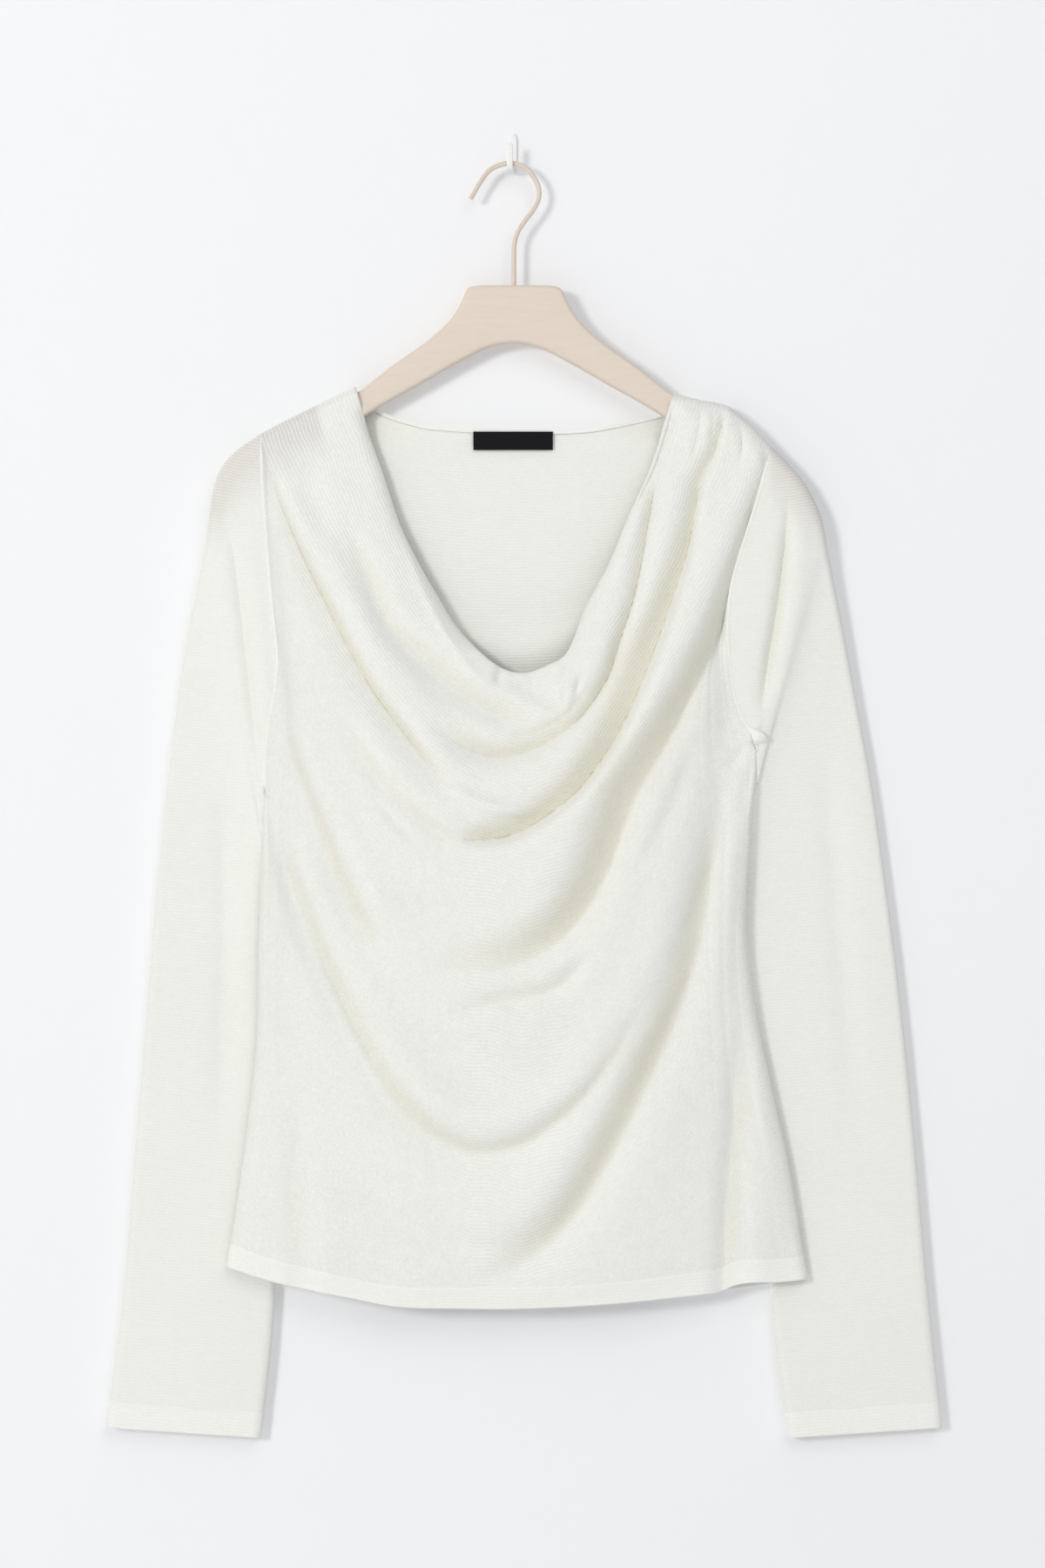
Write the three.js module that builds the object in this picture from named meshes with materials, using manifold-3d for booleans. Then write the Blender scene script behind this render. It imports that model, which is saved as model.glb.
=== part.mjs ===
// A long-sleeved knitted top with a draped cowl neck, on a flat hanger that hangs from a wall hook.
// Millimetres. The origin is on the back of the wall hook, where it meets the wall: X to the
// viewer's right, Z up, the front faces -Y and the wall is the plane Y = 0.
import * as THREE from 'three';
import { mergeVertices } from 'three/addons/utils/BufferGeometryUtils.js';
import ModuleManifold from 'manifold-3d';

// Cloth
const WALL = 1.2;            // thickness of the knit
const SEAM = 0.3;            // space left between two pieces at a seam
const SEAM_Y = -14;          // depth at which front and back meet on the hanger
const SIDE_SEAM_Y = -18;     // the same at the side seams, in front of the sleeves
const ROUND = 8.8;           // radius the cloth takes over the hanger, and half its depth there
const HEM_BAND = 15;         // height of the smooth hem band
const CUFF_BAND = 16;        // height of the smooth cuff band
const FACING_ROWS = 4;       // rows of the front that the neck facing reaches down
const BINDING_SHARE = 0.0108; // share of the back's length that its neck band covers, 3.5 mm
const LABEL = { left: -28, right: 27, top: -195, height: 12, thick: 1 };

// Hanger
const HANGER_DEPTH = 12;
const HANGER_EDGE = 3;       // rounding of the hanger's edges
const HOOK_WIRE = 3.5;
const BORE_PLAY = 0.2;
const STEM_DEPTH = 18;       // how far the hook's stem goes into the hanger

// Wall hook
const STRAP = { width: 4, thick: 1.8, top: 13, narrowsFrom: 9, tip: 0.45, saddle: -13.4, prongTop: 3 };
const STRAP_CORNER = 3.4;    // height over which the strap turns up from its saddle
const STRAP_SKEW = 0.17;     // the prong stands a little to the left of the back

// Edges of the front, from the neck along shoulder, armhole and side: share, x, z
const SHOULDER = 0.24;
const UNDERARM = 0.56;
const LEFT_EDGE = [
  [0, -110, -165], [0.06, -129, -174], [0.12, -147, -183], [0.18, -161, -190], [0.24, -174, -197],
  [0.28, -173, -230], [0.32, -170, -269], [0.36, -167, -307], [0.4, -163, -342], [0.44, -163, -361],
  [0.48, -166, -382], [0.52, -170, -408], [0.56, -172, -441], [0.62, -173, -489], [0.7, -175, -552],
  [0.78, -176, -612], [0.86, -183, -672], [0.93, -192, -732], [1, -200, -776],
];
const RIGHT_EDGE = [
  [0, 111, -170], [0.06, 128, -174], [0.12, 147, -178], [0.18, 163, -191], [0.24, 177, -206],
  [0.28, 170, -235], [0.32, 161, -264], [0.36, 152, -293], [0.4, 148, -318], [0.44, 148, -345],
  [0.48, 151, -374], [0.52, 158, -394], [0.56, 168, -411], [0.62, 163, -462], [0.7, 159, -534],
  [0.78, 165, -591], [0.86, 177, -651], [0.93, 190, -708], [1, 202, -785],
];
const NECK_EDGE = [
  [-110, -165], [-103, -191], [-92, -220], [-80, -258], [-66, -287], [-54, -308], [-42, -328],
  [-28, -344], [-11, -358], [6, -363], [24, -357], [36, -349], [50, -316], [65, -287], [79, -253],
  [96, -222], [106, -193], [111, -170],
];
const HEM_EDGE = [
  [-200, -776], [-174, -784], [-149, -790], [-114, -796], [-80, -802], [-40, -803], [7, -803],
  [65, -800], [126, -794], [142, -792], [152, -786], [163, -783], [184, -784], [202, -785],
];
const BACK_NECK = [
  [-110, -165], [-90, -181], [-71, -188], [-54, -191], [6, -193], [48, -193], [72, -190],
  [91, -186], [103, -182], [111, -170],
];
// How the cloth hangs between the edges: share down the front, then x, z at seven places across
const SWAGS = [
  [0, -110, -165, -86, -243, -51, -315, 6, -363, 52, -312, 87, -234, 111, -170],
  [0.12, -142, -181, -114, -282, -72, -372, 5, -423, 69, -369, 111, -282, 144, -176],
  [0.24, -174, -196, -144, -312, -90, -414, 4, -479, 81, -411, 135, -306, 177, -206],
  [0.4, -163, -342, -141, -420, -84, -507, 3, -561, 75, -501, 123, -408, 148, -318],
  [0.56, -172, -441, -144, -534, -84, -609, 1, -639, 81, -594, 129, -504, 168, -411],
  [0.78, -176, -612, -144, -669, -81, -714, 0, -729, 78, -708, 132, -657, 165, -591],
  [1, -200, -776, -150, -788, -78, -800, 0, -803, 78, -800, 141, -793, 202, -785],
];
// How far the front stands out from the side seams: share down, distance at the middle
const FRONT_SAG = [[0, 12], [0.12, 20], [0.24, 24], [0.4, 24], [0.56, 20], [0.78, 13], [1, 9]];
// The back: share down, how much lower the middle of a row hangs than its ends
const BACK_DIP = [[0, 26], [0.24, 70], [0.4, 60], [0.56, 44], [0.78, 30], [1, 20]];

// Folds of the front: path from left to right or downwards, depth of the trough, its reach on the
// upper and lower side, height of the roll above it, and whether each end runs out softly
const FRONT_FOLDS = [
  { of: 'first cowl fold',
    path: [[-56, -392], [-25, -412], [13, -409], [54, -373], [83, -308], [103, -208]],
    deep: 8, up: 7, down: 9, roll: 4, ends: [1, 0] },
  { of: 'first cowl fold, wearer right',
    path: [[-121, -239], [-95, -301], [-66, -344], [-37, -371], [-8, -392]],
    deep: 5, up: 6, down: 8, roll: 2, ends: [1, 1] },
  { of: 'rolled neck edge',
    path: [[-90, -234], [-68, -294], [-54, -323], [-36, -351], [-12, -372]],
    deep: 2.5, up: 4, down: 5, roll: 1, ends: [1, 1] },
  { of: 'second cowl fold, wearer right',
    path: [[-169, -217], [-150, -264], [-128, -306], [-100, -368], [-71, -412], [-36, -436]],
    deep: 8, up: 7, down: 9, roll: 3, ends: [0, 1] },
  { of: 'second cowl fold',
    path: [[6, -460], [41, -421], [74, -376], [100, -324], [119, -265], [144, -186]],
    deep: 9, up: 8, down: 7, roll: 4, ends: [1, 0] },
  { of: 'crisp edge under it',
    path: [[-24, -479], [7, -471], [41, -449], [79, -399], [106, -345], [128, -258], [143, -208]],
    deep: 7, up: 4, down: 11, roll: 3, ends: [1, 1] },
  { of: 'third cowl fold, wearer right',
    path: [[-114, -397], [-90, -438], [-61, -469], [-24, -478]],
    deep: 4, up: 6, down: 8, roll: 1.5, ends: [1, 1] },
  { of: 'crease below it',
    path: [[-101, -443], [-80, -464], [-58, -489]],
    deep: 2.5, up: 4, down: 5, roll: 0.5, ends: [1, 1] },
  { of: 'fourth cowl fold',
    path: [[-42, -541], [-16, -551], [19, -541], [67, -489], [110, -407], [139, -325], [174, -208]],
    deep: 10, up: 10, down: 10, roll: 4, ends: [1, 0] },
  { of: 'crease below the fourth',
    path: [[-34, -592], [-6, -583], [7, -588], [35, -576]],
    deep: 4, up: 6, down: 8, roll: 1.5, ends: [1, 1] },
  { of: 'fourth fold, wearer right',
    path: [[-152, -407], [-138, -438], [-124, -489], [-106, -535], [-86, -571]],
    deep: 8, up: 8, down: 9, roll: 3, ends: [1, 1] },
  { of: 'fifth fold, wearer right',
    path: [[-157, -509], [-131, -581], [-106, -643], [-70, -691]],
    deep: 5, up: 6, down: 8, roll: 2.5, ends: [1, 1] },
  { of: 'fifth fold',
    path: [[-147, -499], [-119, -581], [-91, -632], [-34, -676], [22, -643], [52, -592]],
    deep: 5, up: 7, down: 7, roll: 2, ends: [1, 1] },
  { of: 'last swag',
    path: [[-72, -778], [-29, -778], [18, -763], [70, -694], [103, -622], [126, -535], [144, -402]],
    deep: 8, up: 10, down: 12, roll: 3, ends: [1, 1] },
  { of: 'upright fold at the hem',
    path: [[157, -604], [153, -668], [149, -733], [148, -806]],
    deep: 9, up: 8, down: 7, roll: 3, ends: [1, 0] },
  { of: 'upright crease, wearer right',
    path: [[-149, -648], [-149, -694], [-145, -744], [-139, -806]],
    deep: 4, up: 7, down: 7, roll: 1, ends: [1, 0] },
  { of: 'shoulder tuck',
    path: [[126, -175], [123, -210], [119, -234]],
    deep: 3, up: 3, down: 3, roll: 1, ends: [0, 1] },
  { of: 'second shoulder tuck',
    path: [[151, -180], [149, -210], [143, -234]],
    deep: 4, up: 3, down: 3, roll: 1, ends: [0, 1] },
  { of: 'gathered middle of the neck',
    path: [[-9, -371], [12, -374], [33, -366]],
    deep: 5, up: 8, down: 6, roll: 0, ends: [1, 1] },
];
// Folds of the back, shown nowhere: like those of the front, shallower
const BACK_FOLDS = [
  { of: 'swag',
    path: [[-120, -260], [-60, -330], [0, -350], [60, -330], [120, -262]],
    deep: 1.6, up: 12, down: 14, roll: 0.4, ends: [1, 1] },
  { of: 'second swag',
    path: [[-130, -380], [-40, -470], [50, -468], [128, -390]],
    deep: 1.4, up: 12, down: 16, roll: 0.4, ends: [1, 1] },
  { of: 'upright fold',
    path: [[-96, -560], [-104, -660], [-110, -800]],
    deep: 1.8, up: 12, down: 12, roll: 0.4, ends: [1, 0] },
  { of: 'second upright fold',
    path: [[92, -530], [104, -650], [108, -800]],
    deep: 1.6, up: 14, down: 12, roll: 0.4, ends: [1, 0] },
];

// Sleeves, a row for each section down the arm: x, z of the outer edge, x, z of the inner edge,
// depth of the middle and half the thickness of what it encloses
const SLEEVE_RIGHT = [
  [-174, -197, -172, -441, -14, 8.8],
  [-191, -209, -175.5, -447, -14, 8.8],
  [-202, -222, -176, -455, -14, 8.8],
  [-207, -238, -176, -464, -13.9, 8.6],
  [-210, -258, -176.5, -474, -13.4, 7.6],
  [-216, -291, -177, -495, -12, 6],
  [-225, -336, -175.5, -522, -10, 4.4],
  [-233, -390, -166, -555, -8.4, 3.4],
  [-240, -450, -157, -597, -8, 3.2],
  [-246, -510, -156, -642, -8, 3.2],
  [-253, -594, -161, -702, -8.2, 3.3],
  [-261, -690, -165, -768, -8.4, 3.4],
  [-269, -786, -169, -828, -8.6, 3.6],
  [-281, -882, -176, -889, -8.8, 3.8],
];
const SLEEVE_LEFT = [
  [177, -206, 168, -411, -14, 8.8],
  [188, -217, 171.5, -415, -14, 8.8],
  [199, -230, 172.5, -421, -14, 8.8],
  [208, -246, 172, -430, -13.9, 8.6],
  [213, -261, 171, -441, -13.4, 7.6],
  [218, -288, 168, -462, -12, 6],
  [227, -333, 164.5, -490, -10, 4.4],
  [236, -381, 158, -528, -8.4, 3.4],
  [246, -435, 159, -570, -8, 3.2],
  [255, -498, 163, -624, -8, 3.2],
  [265, -576, 170, -690, -8.2, 3.3],
  [275, -672, 176, -756, -8.4, 3.4],
  [284, -774, 182, -825, -8.6, 3.6],
  [295, -882, 191, -889, -8.8, 3.8],
];
const SLEEVE_RIGHT_FOLDS = [
  { of: 'crease along the armhole',
    path: [[-197, -250], [-193, -280], [-186, -338], [-181, -389], [-180, -430]],
    deep: 3, up: 5, down: 5, roll: 0.8, ends: [1, 1] },
  { of: 'long crease',
    path: [[-203, -420], [-201, -520], [-202, -600], [-205, -700]],
    deep: 2.2, up: 8, down: 6, roll: 0.8, ends: [1, 1] },
];
const SLEEVE_LEFT_FOLDS = [
  { of: 'crease along the armhole',
    path: [[184, -240], [187, -272], [183, -306], [179, -342], [175, -380]],
    deep: 3.5, up: 5, down: 6, roll: 1, ends: [1, 1] },
  { of: 'long crease',
    path: [[212, -380], [220, -480], [230, -600], [238, -700]],
    deep: 1.8, up: 9, down: 8, roll: 0.6, ends: [1, 1] },
];

const HANGER_TOP = [
  [0, -94], [-32, -94], [-35, -101], [-40, -112], [-49, -123], [-58, -131], [-66, -137], [-90, -153.5],
  [-110, -170.8], [-129, -175.8], [-147, -184.8], [-161, -194], [-174, -207.5], [-184, -219],
];
const HANGER_UNDER = [
  [-189, -229], [-189.5, -236], [-185, -241.5], [-174, -238], [-150, -218], [-126, -200], [-106, -186],
  [-90, -176], [-66, -163], [-49, -153], [-29, -142], [-17, -136], [0, -133],
];
const HOOK_PATH = [
  [-30, -34], [-23, -22], [-17, -14.5], [-9, -10.5], [-1, -9.6], [7, -12], [13, -18], [17, -26], [17, -34],
  [13, -42], [7, -50], [2.5, -57], [0.3, -65], [0, -75], [0, -94 - STEM_DEPTH],
];

const COLOURS = {
  knit: { color: '#f0f0ea', roughness: 0.9, metalness: 0 },
  hem: { color: '#f3f3ee', roughness: 0.88, metalness: 0 },
  label: { color: '#0c0d11', roughness: 0.6, metalness: 0 },
  hanger: { color: '#dfd4c6', roughness: 0.5, metalness: 0 },
  wire: { color: '#dcd0c2', roughness: 0.4, metalness: 0.1 },
  hook: { color: '#f1f1ef', roughness: 0.4, metalness: 0 },
};

const clamp = (value, low, high) => Math.min(high, Math.max(low, value));
const mix = (a, b, t) => a + (b - a) * t;
const ease = (t) => {
  const c = clamp(t, 0, 1);
  return c * c * (3 - 2 * c);
};

// Smooth curve through the rows of a table whose first column is the share at which a row stands
function along(table, share) {
  let i = 0;
  while (i < table.length - 2 && share > table[i + 1][0]) i += 1;
  const a = table[i];
  const b = table[i + 1];
  const before = table[Math.max(0, i - 1)];
  const after = table[Math.min(table.length - 1, i + 2)];
  const gap = b[0] - a[0];
  const t = clamp((share - a[0]) / gap, 0, 1);
  const slope = (p, q, column) => (q[column] - p[column]) / Math.max(q[0] - p[0], 1e-6);
  return a.slice(1).map((_, k) => {
    const c = k + 1;
    const m0 = slope(before, b, c) * gap;
    const m1 = slope(a, after, c) * gap;
    const t2 = t * t;
    const t3 = t2 * t;
    return (2 * t3 - 3 * t2 + 1) * a[c] + (t3 - 2 * t2 + t) * m0 + (3 * t2 - 2 * t3) * b[c] + (t3 - t2) * m1;
  });
}

// Gives each point of a line the share of the line's length at which it stands
function measured(points) {
  const run = [0];
  for (let i = 1; i < points.length; i += 1) {
    run.push(run[i - 1] + Math.hypot(points[i][0] - points[i - 1][0], points[i][1] - points[i - 1][1]));
  }
  return points.map((p, i) => [run[i] / run[run.length - 1], ...p]);
}

const withCorner = (table, share) => {
  const first = table.filter((row) => row[0] <= share + 1e-9);
  const rest = table.filter((row) => row[0] >= share - 1e-9);
  return (v) => (v <= share ? along(first, v) : along(rest, v));
};

const leftEdge = withCorner(LEFT_EDGE, SHOULDER);
const rightEdge = withCorner(RIGHT_EDGE, SHOULDER);
const neckLine = measured(NECK_EDGE);
const hemLine = measured(HEM_EDGE);
const backNeckLine = measured(BACK_NECK);

// A fold as a fine line of points, with how far along it each one is
function drawn(fold) {
  const table = measured(fold.path);
  const steps = 28;
  const line = [];
  for (let i = 0; i <= steps; i += 1) line.push([i / steps, ...along(table, i / steps)]);
  return { ...fold, line };
}

// Depth that all folds of a list take out of the cloth at a point, less what their rolls add
function foldDepth(folds, x, z) {
  let sum = 0;
  for (const fold of folds) {
    let best = Infinity;
    let share = 0;
    let side = 1;
    for (let i = 0; i < fold.line.length - 1; i += 1) {
      const [sa, ax, az] = fold.line[i];
      const [sb, bx, bz] = fold.line[i + 1];
      const dx = bx - ax;
      const dz = bz - az;
      const t = clamp(((x - ax) * dx + (z - az) * dz) / (dx * dx + dz * dz), 0, 1);
      const ex = x - ax - dx * t;
      const ez = z - az - dz * t;
      const d = Math.hypot(ex, ez);
      if (d < best) {
        best = d;
        share = mix(sa, sb, t);
        side = dx * ez - dz * ex >= 0 ? 1 : -1;
      }
    }
    const reach = side > 0 ? fold.up : fold.down;
    const start = fold.ends[0] ? ease(share / 0.28) : 1;
    const end = fold.ends[1] ? ease((1 - share) / 0.28) : 1;
    const s = best / reach;
    const trough = fold.deep * Math.exp(-s * s);
    const away = side > 0 ? (best - fold.up * 2) / (fold.up * 1.1) : (best + fold.up * 2) / (fold.up * 1.1);
    const roll = fold.roll * Math.exp(-away * away);
    sum += (trough - roll) * start * end;
  }
  return sum;
}

// Quarter round: 0 at the edge, and the full amount once the distance reaches the radius
const quarter = (distance, radius) => {
  const rest = 1 - clamp(distance / radius, 0, 1);
  return Math.sqrt(1 - rest * rest);
};

const SHOULDER_LINE = [
  [-400, -260], [-201, -232], [-196, -216], [-186, -205], [-174, -197], [-161, -190], [-147, -183],
  [-129, -174], [-110, -165], [-90, -150], [-66, -134], [-32, -92], [0, -90], [32, -92], [66, -134],
  [90, -150], [111, -170], [128, -174], [147, -178], [163, -191], [177, -206], [189, -217], [201, -232],
  [400, -260],
];
function topAt(x) {
  let i = 0;
  while (i < SHOULDER_LINE.length - 2 && x > SHOULDER_LINE[i + 1][0]) i += 1;
  const [ax, az] = SHOULDER_LINE[i];
  const [bx, bz] = SHOULDER_LINE[i + 1];
  return mix(az, bz, clamp((x - ax) / (bx - ax), 0, 1));
}

// Depth of the seam line at a share down the side
const seamDepth = (v) => mix(SEAM_Y, SIDE_SEAM_Y, ease((v - UNDERARM) / 0.06));

// How far the cloth stands from the seam's depth at the armhole, from shoulder to underarm
function armholeStand(x, z, edge) {
  const [ux, uz] = edge(UNDERARM);
  return ROUND * Math.min(quarter(topAt(x) - z, ROUND), quarter(Math.hypot(x - ux, z - uz), ROUND));
}

// Place on the plane of the front at u across and v down
function frontPlace(u, v) {
  const row = along(SWAGS, v);
  const places = [];
  for (let i = 0; i < 7; i += 1) places.push([i / 6, row[2 * i], row[2 * i + 1]]);
  let [x, z] = along(places, u);
  const [lx, lz] = leftEdge(v);
  const [rx, rz] = rightEdge(v);
  const toLeft = (1 - u) ** 8;
  const toRight = u ** 8;
  x += (lx - row[0]) * toLeft + (rx - row[12]) * toRight;
  z += (lz - row[1]) * toLeft + (rz - row[13]) * toRight;
  const inside = 1 - (1 - u) ** 8 - u ** 8;
  const edges = [[neckLine, 0, (1 - v) ** 14], [hemLine, 1, v ** 10]];
  for (const [line, at, weight] of edges) {
    if (weight < 1e-4) continue;
    const base = along(SWAGS, at);
    const spots = [];
    for (let i = 0; i < 7; i += 1) spots.push([i / 6, base[2 * i], base[2 * i + 1]]);
    const [bx, bz] = along(spots, u);
    const [ex, ez] = along(line, u);
    x += (ex - bx) * weight * inside;
    z += (ez - bz) * weight * inside;
  }
  return [x, z];
}

const frontFolds = FRONT_FOLDS.map(drawn);
const backFolds = BACK_FOLDS.map(drawn);

// The edge's own share of the stand-off: round over the shoulder and at the sides
function edgeStand(u, v, x, z) {
  const [lx, lz] = leftEdge(v);
  const [rx, rz] = rightEdge(v);
  const left = Math.hypot(x - lx, z - lz);
  const right = Math.hypot(x - rx, z - rz);
  const edge = left < right ? leftEdge : rightEdge;
  const near = Math.min(left, right);
  const below = topAt(x) - z;
  if (v <= SHOULDER) return ROUND * quarter(Math.max(below, 0), ROUND);
  if (v < UNDERARM) return armholeStand(x, z, edge);
  return ROUND * quarter(near, ROUND * mix(1, 1.6, ease((v - UNDERARM) / 0.05)));
}

// Inner face of the front
function frontFace(u, v) {
  const [x, z] = frontPlace(u, v);
  const [lx, lz] = leftEdge(v);
  const [rx, rz] = rightEdge(v);
  const near = Math.min(Math.hypot(x - lx, z - lz), Math.hypot(x - rx, z - rz));
  const [sag] = along(FRONT_SAG, v);
  const across = 4 * u * (1 - u);
  const out = edgeStand(u, v, x, z) + sag * across ** 1.3;
  const taper = ease(near / 22) * (v < SHOULDER ? ease((topAt(x) - z - 4) / 18) : 1);
  const folds = foldDepth(frontFolds, x, z) * taper;
  const floor = v < UNDERARM + 0.04 && topAt(x) - z < 60 ? ROUND * 0.98 : 0;
  const stand = Math.max(out - folds, Math.min(out, floor));
  return [x, seamDepth(v) - SEAM / 2 - stand, z];
}

// Inner face of the back
function backFace(u, v) {
  const [lx, lz] = leftEdge(v);
  const [rx, rz] = rightEdge(v);
  const [dip] = along(BACK_DIP, v);
  let x = mix(lx, rx, u);
  let z = mix(lz, rz, u) - dip * 4 * u * (1 - u);
  const weight = (1 - v) ** 14;
  const [nx, nz] = along(backNeckLine, u);
  const [l0x, l0z] = leftEdge(0);
  const [r0x, r0z] = rightEdge(0);
  x += (nx - mix(l0x, r0x, u)) * weight;
  z += (nz - mix(l0z, r0z, u) + BACK_DIP[0][1] * 4 * u * (1 - u)) * weight;
  const near = Math.min(Math.hypot(x - lx, z - lz), Math.hypot(x - rx, z - rz));
  const round = edgeStand(u, v, x, z);
  const clear = -seamDepth(v) + SEAM_Y + ROUND;
  const aside = mix(round * 0.3, clear, ease((near - 40) / 62));
  const behind = v < UNDERARM ? ease(near / 30) : mix(ease(near / 30), 1, ease((v - UNDERARM) / 0.06));
  const stand = mix(round, aside, ease((v - 0.42) / 0.24) * behind);
  const folds = foldDepth(backFolds, x, z) * ease(near / 40) * ease((topAt(x) - z - 20) / 30);
  return [x, seamDepth(v) + SEAM / 2 + Math.max(stand - folds, 0), z];
}

// Grid of points of a surface, with the direction in which its wall grows
function gridOf(face, us, vs, outward, seamDirection) {
  const step = 0.002;
  return vs.map((v) => us.map((u) => {
    const p = new THREE.Vector3(...face(u, v));
    const ua = Math.max(u - step, 0);
    const ub = Math.min(u + step, 1);
    const va = Math.max(v - step, 0);
    const vb = Math.min(v + step, 1);
    const du = new THREE.Vector3(...face(ub, v)).sub(new THREE.Vector3(...face(ua, v)));
    const dv = new THREE.Vector3(...face(u, vb)).sub(new THREE.Vector3(...face(u, va)));
    const n = du.cross(dv).normalize();
    if (n.y * outward < 0) n.negate();
    const fixed = seamDirection ? seamDirection(u, v, p) : null;
    return { p, n: fixed || n };
  }));
}

// Closed wall between two distances from a grid's points, both measured along their directions
function wallOf(grid, from, to, closedAcross = false) {
  const rows = grid.length;
  const columns = grid[0].length;
  const positions = [];
  for (const distance of [from, to]) {
    for (const row of grid) {
      for (const { p, n } of row) positions.push(...p.clone().addScaledVector(n, distance).toArray());
    }
  }
  const index = [];
  const at = (side, r, c) => side * rows * columns + r * columns + (c % columns);
  const quad = (a, b, c, d) => index.push(a, b, c, a, c, d);
  const across = closedAcross ? columns : columns - 1;
  for (let r = 0; r < rows - 1; r += 1) {
    for (let c = 0; c < across; c += 1) {
      quad(at(0, r, c), at(0, r, c + 1), at(0, r + 1, c + 1), at(0, r + 1, c));
      quad(at(1, r, c), at(1, r + 1, c), at(1, r + 1, c + 1), at(1, r, c + 1));
    }
  }
  for (let c = 0; c < across; c += 1) {
    quad(at(0, 0, c), at(1, 0, c), at(1, 0, c + 1), at(0, 0, c + 1));
    quad(at(0, rows - 1, c), at(0, rows - 1, c + 1), at(1, rows - 1, c + 1), at(1, rows - 1, c));
  }
  if (!closedAcross) {
    for (let r = 0; r < rows - 1; r += 1) {
      quad(at(0, r, 0), at(0, r + 1, 0), at(1, r + 1, 0), at(1, r, 0));
      const last = columns - 1;
      quad(at(0, r, last), at(1, r, last), at(1, r + 1, last), at(0, r + 1, last));
    }
  }
  const geometry = new THREE.BufferGeometry();
  geometry.setAttribute('position', new THREE.Float32BufferAttribute(positions, 3));
  geometry.setIndex(index);
  return facingOut(geometry);
}

// Turns all triangles round when the body they close would have a negative volume
function facingOut(geometry) {
  const p = geometry.getAttribute('position');
  const index = geometry.index.array;
  const [a, b, c] = [new THREE.Vector3(), new THREE.Vector3(), new THREE.Vector3()];
  let volume = 0;
  for (let i = 0; i < index.length; i += 3) {
    a.fromBufferAttribute(p, index[i]);
    b.fromBufferAttribute(p, index[i + 1]);
    c.fromBufferAttribute(p, index[i + 2]);
    volume += a.dot(b.cross(c));
  }
  if (volume < 0) {
    for (let i = 0; i < index.length; i += 3) [index[i + 1], index[i + 2]] = [index[i + 2], index[i + 1]];
  }
  geometry.computeVertexNormals();
  return geometry;
}

// Shares across: close together at both edges, where the cloth turns over the hanger
function acrossShares(count, edge) {
  const middle = [];
  const last = edge[edge.length - 1];
  for (let i = 1; i < count; i += 1) middle.push(mix(last, 1 - last, i / count));
  return [...edge, ...middle, ...edge.map((s) => 1 - s).reverse()];
}

// Shares down: evenly between the corners of the edge
function downShares(parts) {
  const shares = [];
  parts.forEach(([from, to, count], k) => {
    for (let i = k === 0 ? 0 : 1; i <= count; i += 1) shares.push(mix(from, to, i / count));
  });
  return shares;
}

// At an armhole both pieces grow in the same direction, so the seam keeps its width
function seamDirectionAt(x, z, sign) {
  const below = clamp((topAt(x) - z) / ROUND, 0, 1);
  return new THREE.Vector3(0, sign * Math.sqrt(1 - (1 - below) ** 2), 1 - below).normalize();
}
const bodySeam = (sign) => (u, v, p) => {
  if (u > 0 && u < 1) return null;
  if (v < SHOULDER - 1e-6) return new THREE.Vector3(0, 0, 1);
  if (v < UNDERARM - 1e-6) return seamDirectionAt(p.x, p.z, sign);
  return new THREE.Vector3(u === 0 ? -1 : 1, 0, 0);
};

// Keeps a body's edge off the sleeve by the seam's width
const UNDERARM_ROOM = 2.4;
const insetAtArmhole = (face) => (u, v) => {
  const p = face(u, v);
  if (v < SHOULDER - 1e-6) return p;
  const room = v < UNDERARM ? ease((v - UNDERARM) / 0.02 + 1) : 1 - ease((v - UNDERARM) / 0.06);
  const least = v < UNDERARM ? mix(1.1, SEAM, ease((v - SHOULDER) / 0.012)) : 0;
  const pull = u < 0.5 ? 1 - ease(u / 0.02) : -(1 - ease((1 - u) / 0.02));
  return [p[0] + mix(least, UNDERARM_ROOM, room) * pull, p[1], p[2]];
};

// A band of an even height at the lower end: the shares below `from` are stretched to meet it
const BAND_START = 0.96;
function withBand(face, height, from) {
  const sample = 0.03;
  const startOf = (across) => {
    const low = new THREE.Vector3(...face(across, 1));
    const high = new THREE.Vector3(...face(across, 1 - sample));
    return 1 - (sample * height) / low.distanceTo(high);
  };
  return (across, share) => {
    if (share <= from) return face(across, share);
    const start = startOf(across);
    if (share <= BAND_START) return face(across, mix(from, start, (share - from) / (BAND_START - from)));
    return face(across, mix(start, 1, (share - BAND_START) / (1 - BAND_START)));
  };
}

const EDGE_STEPS = [0, 0.0022, 0.007, 0.0145];
const BACK_EDGE_STEPS = [0, 0.004, 0.014, 0.03, 0.055];
const acrossFront = acrossShares(27, EDGE_STEPS);
const seamShare = (height) => (SEAM / height) * (1 - BAND_START);
const frontCloth = withBand(insetAtArmhole(frontFace), HEM_BAND, UNDERARM);
const backCloth = withBand(insetAtArmhole(backFace), HEM_BAND, UNDERARM);
const TIP_STEPS = [0.0016, 0.0048, 0.0102];
const armholeShares = (count) => {
  const shares = [SHOULDER, ...TIP_STEPS.map((step) => SHOULDER + step)];
  const start = shares[shares.length - 1];
  for (let i = 1; i <= count; i += 1) shares.push(mix(start, UNDERARM, i / count));
  const last = shares.pop();
  return [...shares, last - 0.012, last - 0.005, last];
};
const frontArmhole = armholeShares(12);
const backArmhole = armholeShares(6);
const UNDERARM_STEPS = [0.015, 0.03, 0.045, 0.06];
const sideShares = (count) => [
  ...UNDERARM_STEPS.map((step) => UNDERARM + step),
  ...downShares([[UNDERARM + 0.06, BAND_START, count]]).slice(1),
];
const frontRows = [...downShares([[0, SHOULDER, 12]]).slice(0, -1), ...frontArmhole, ...sideShares(10)];
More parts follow.
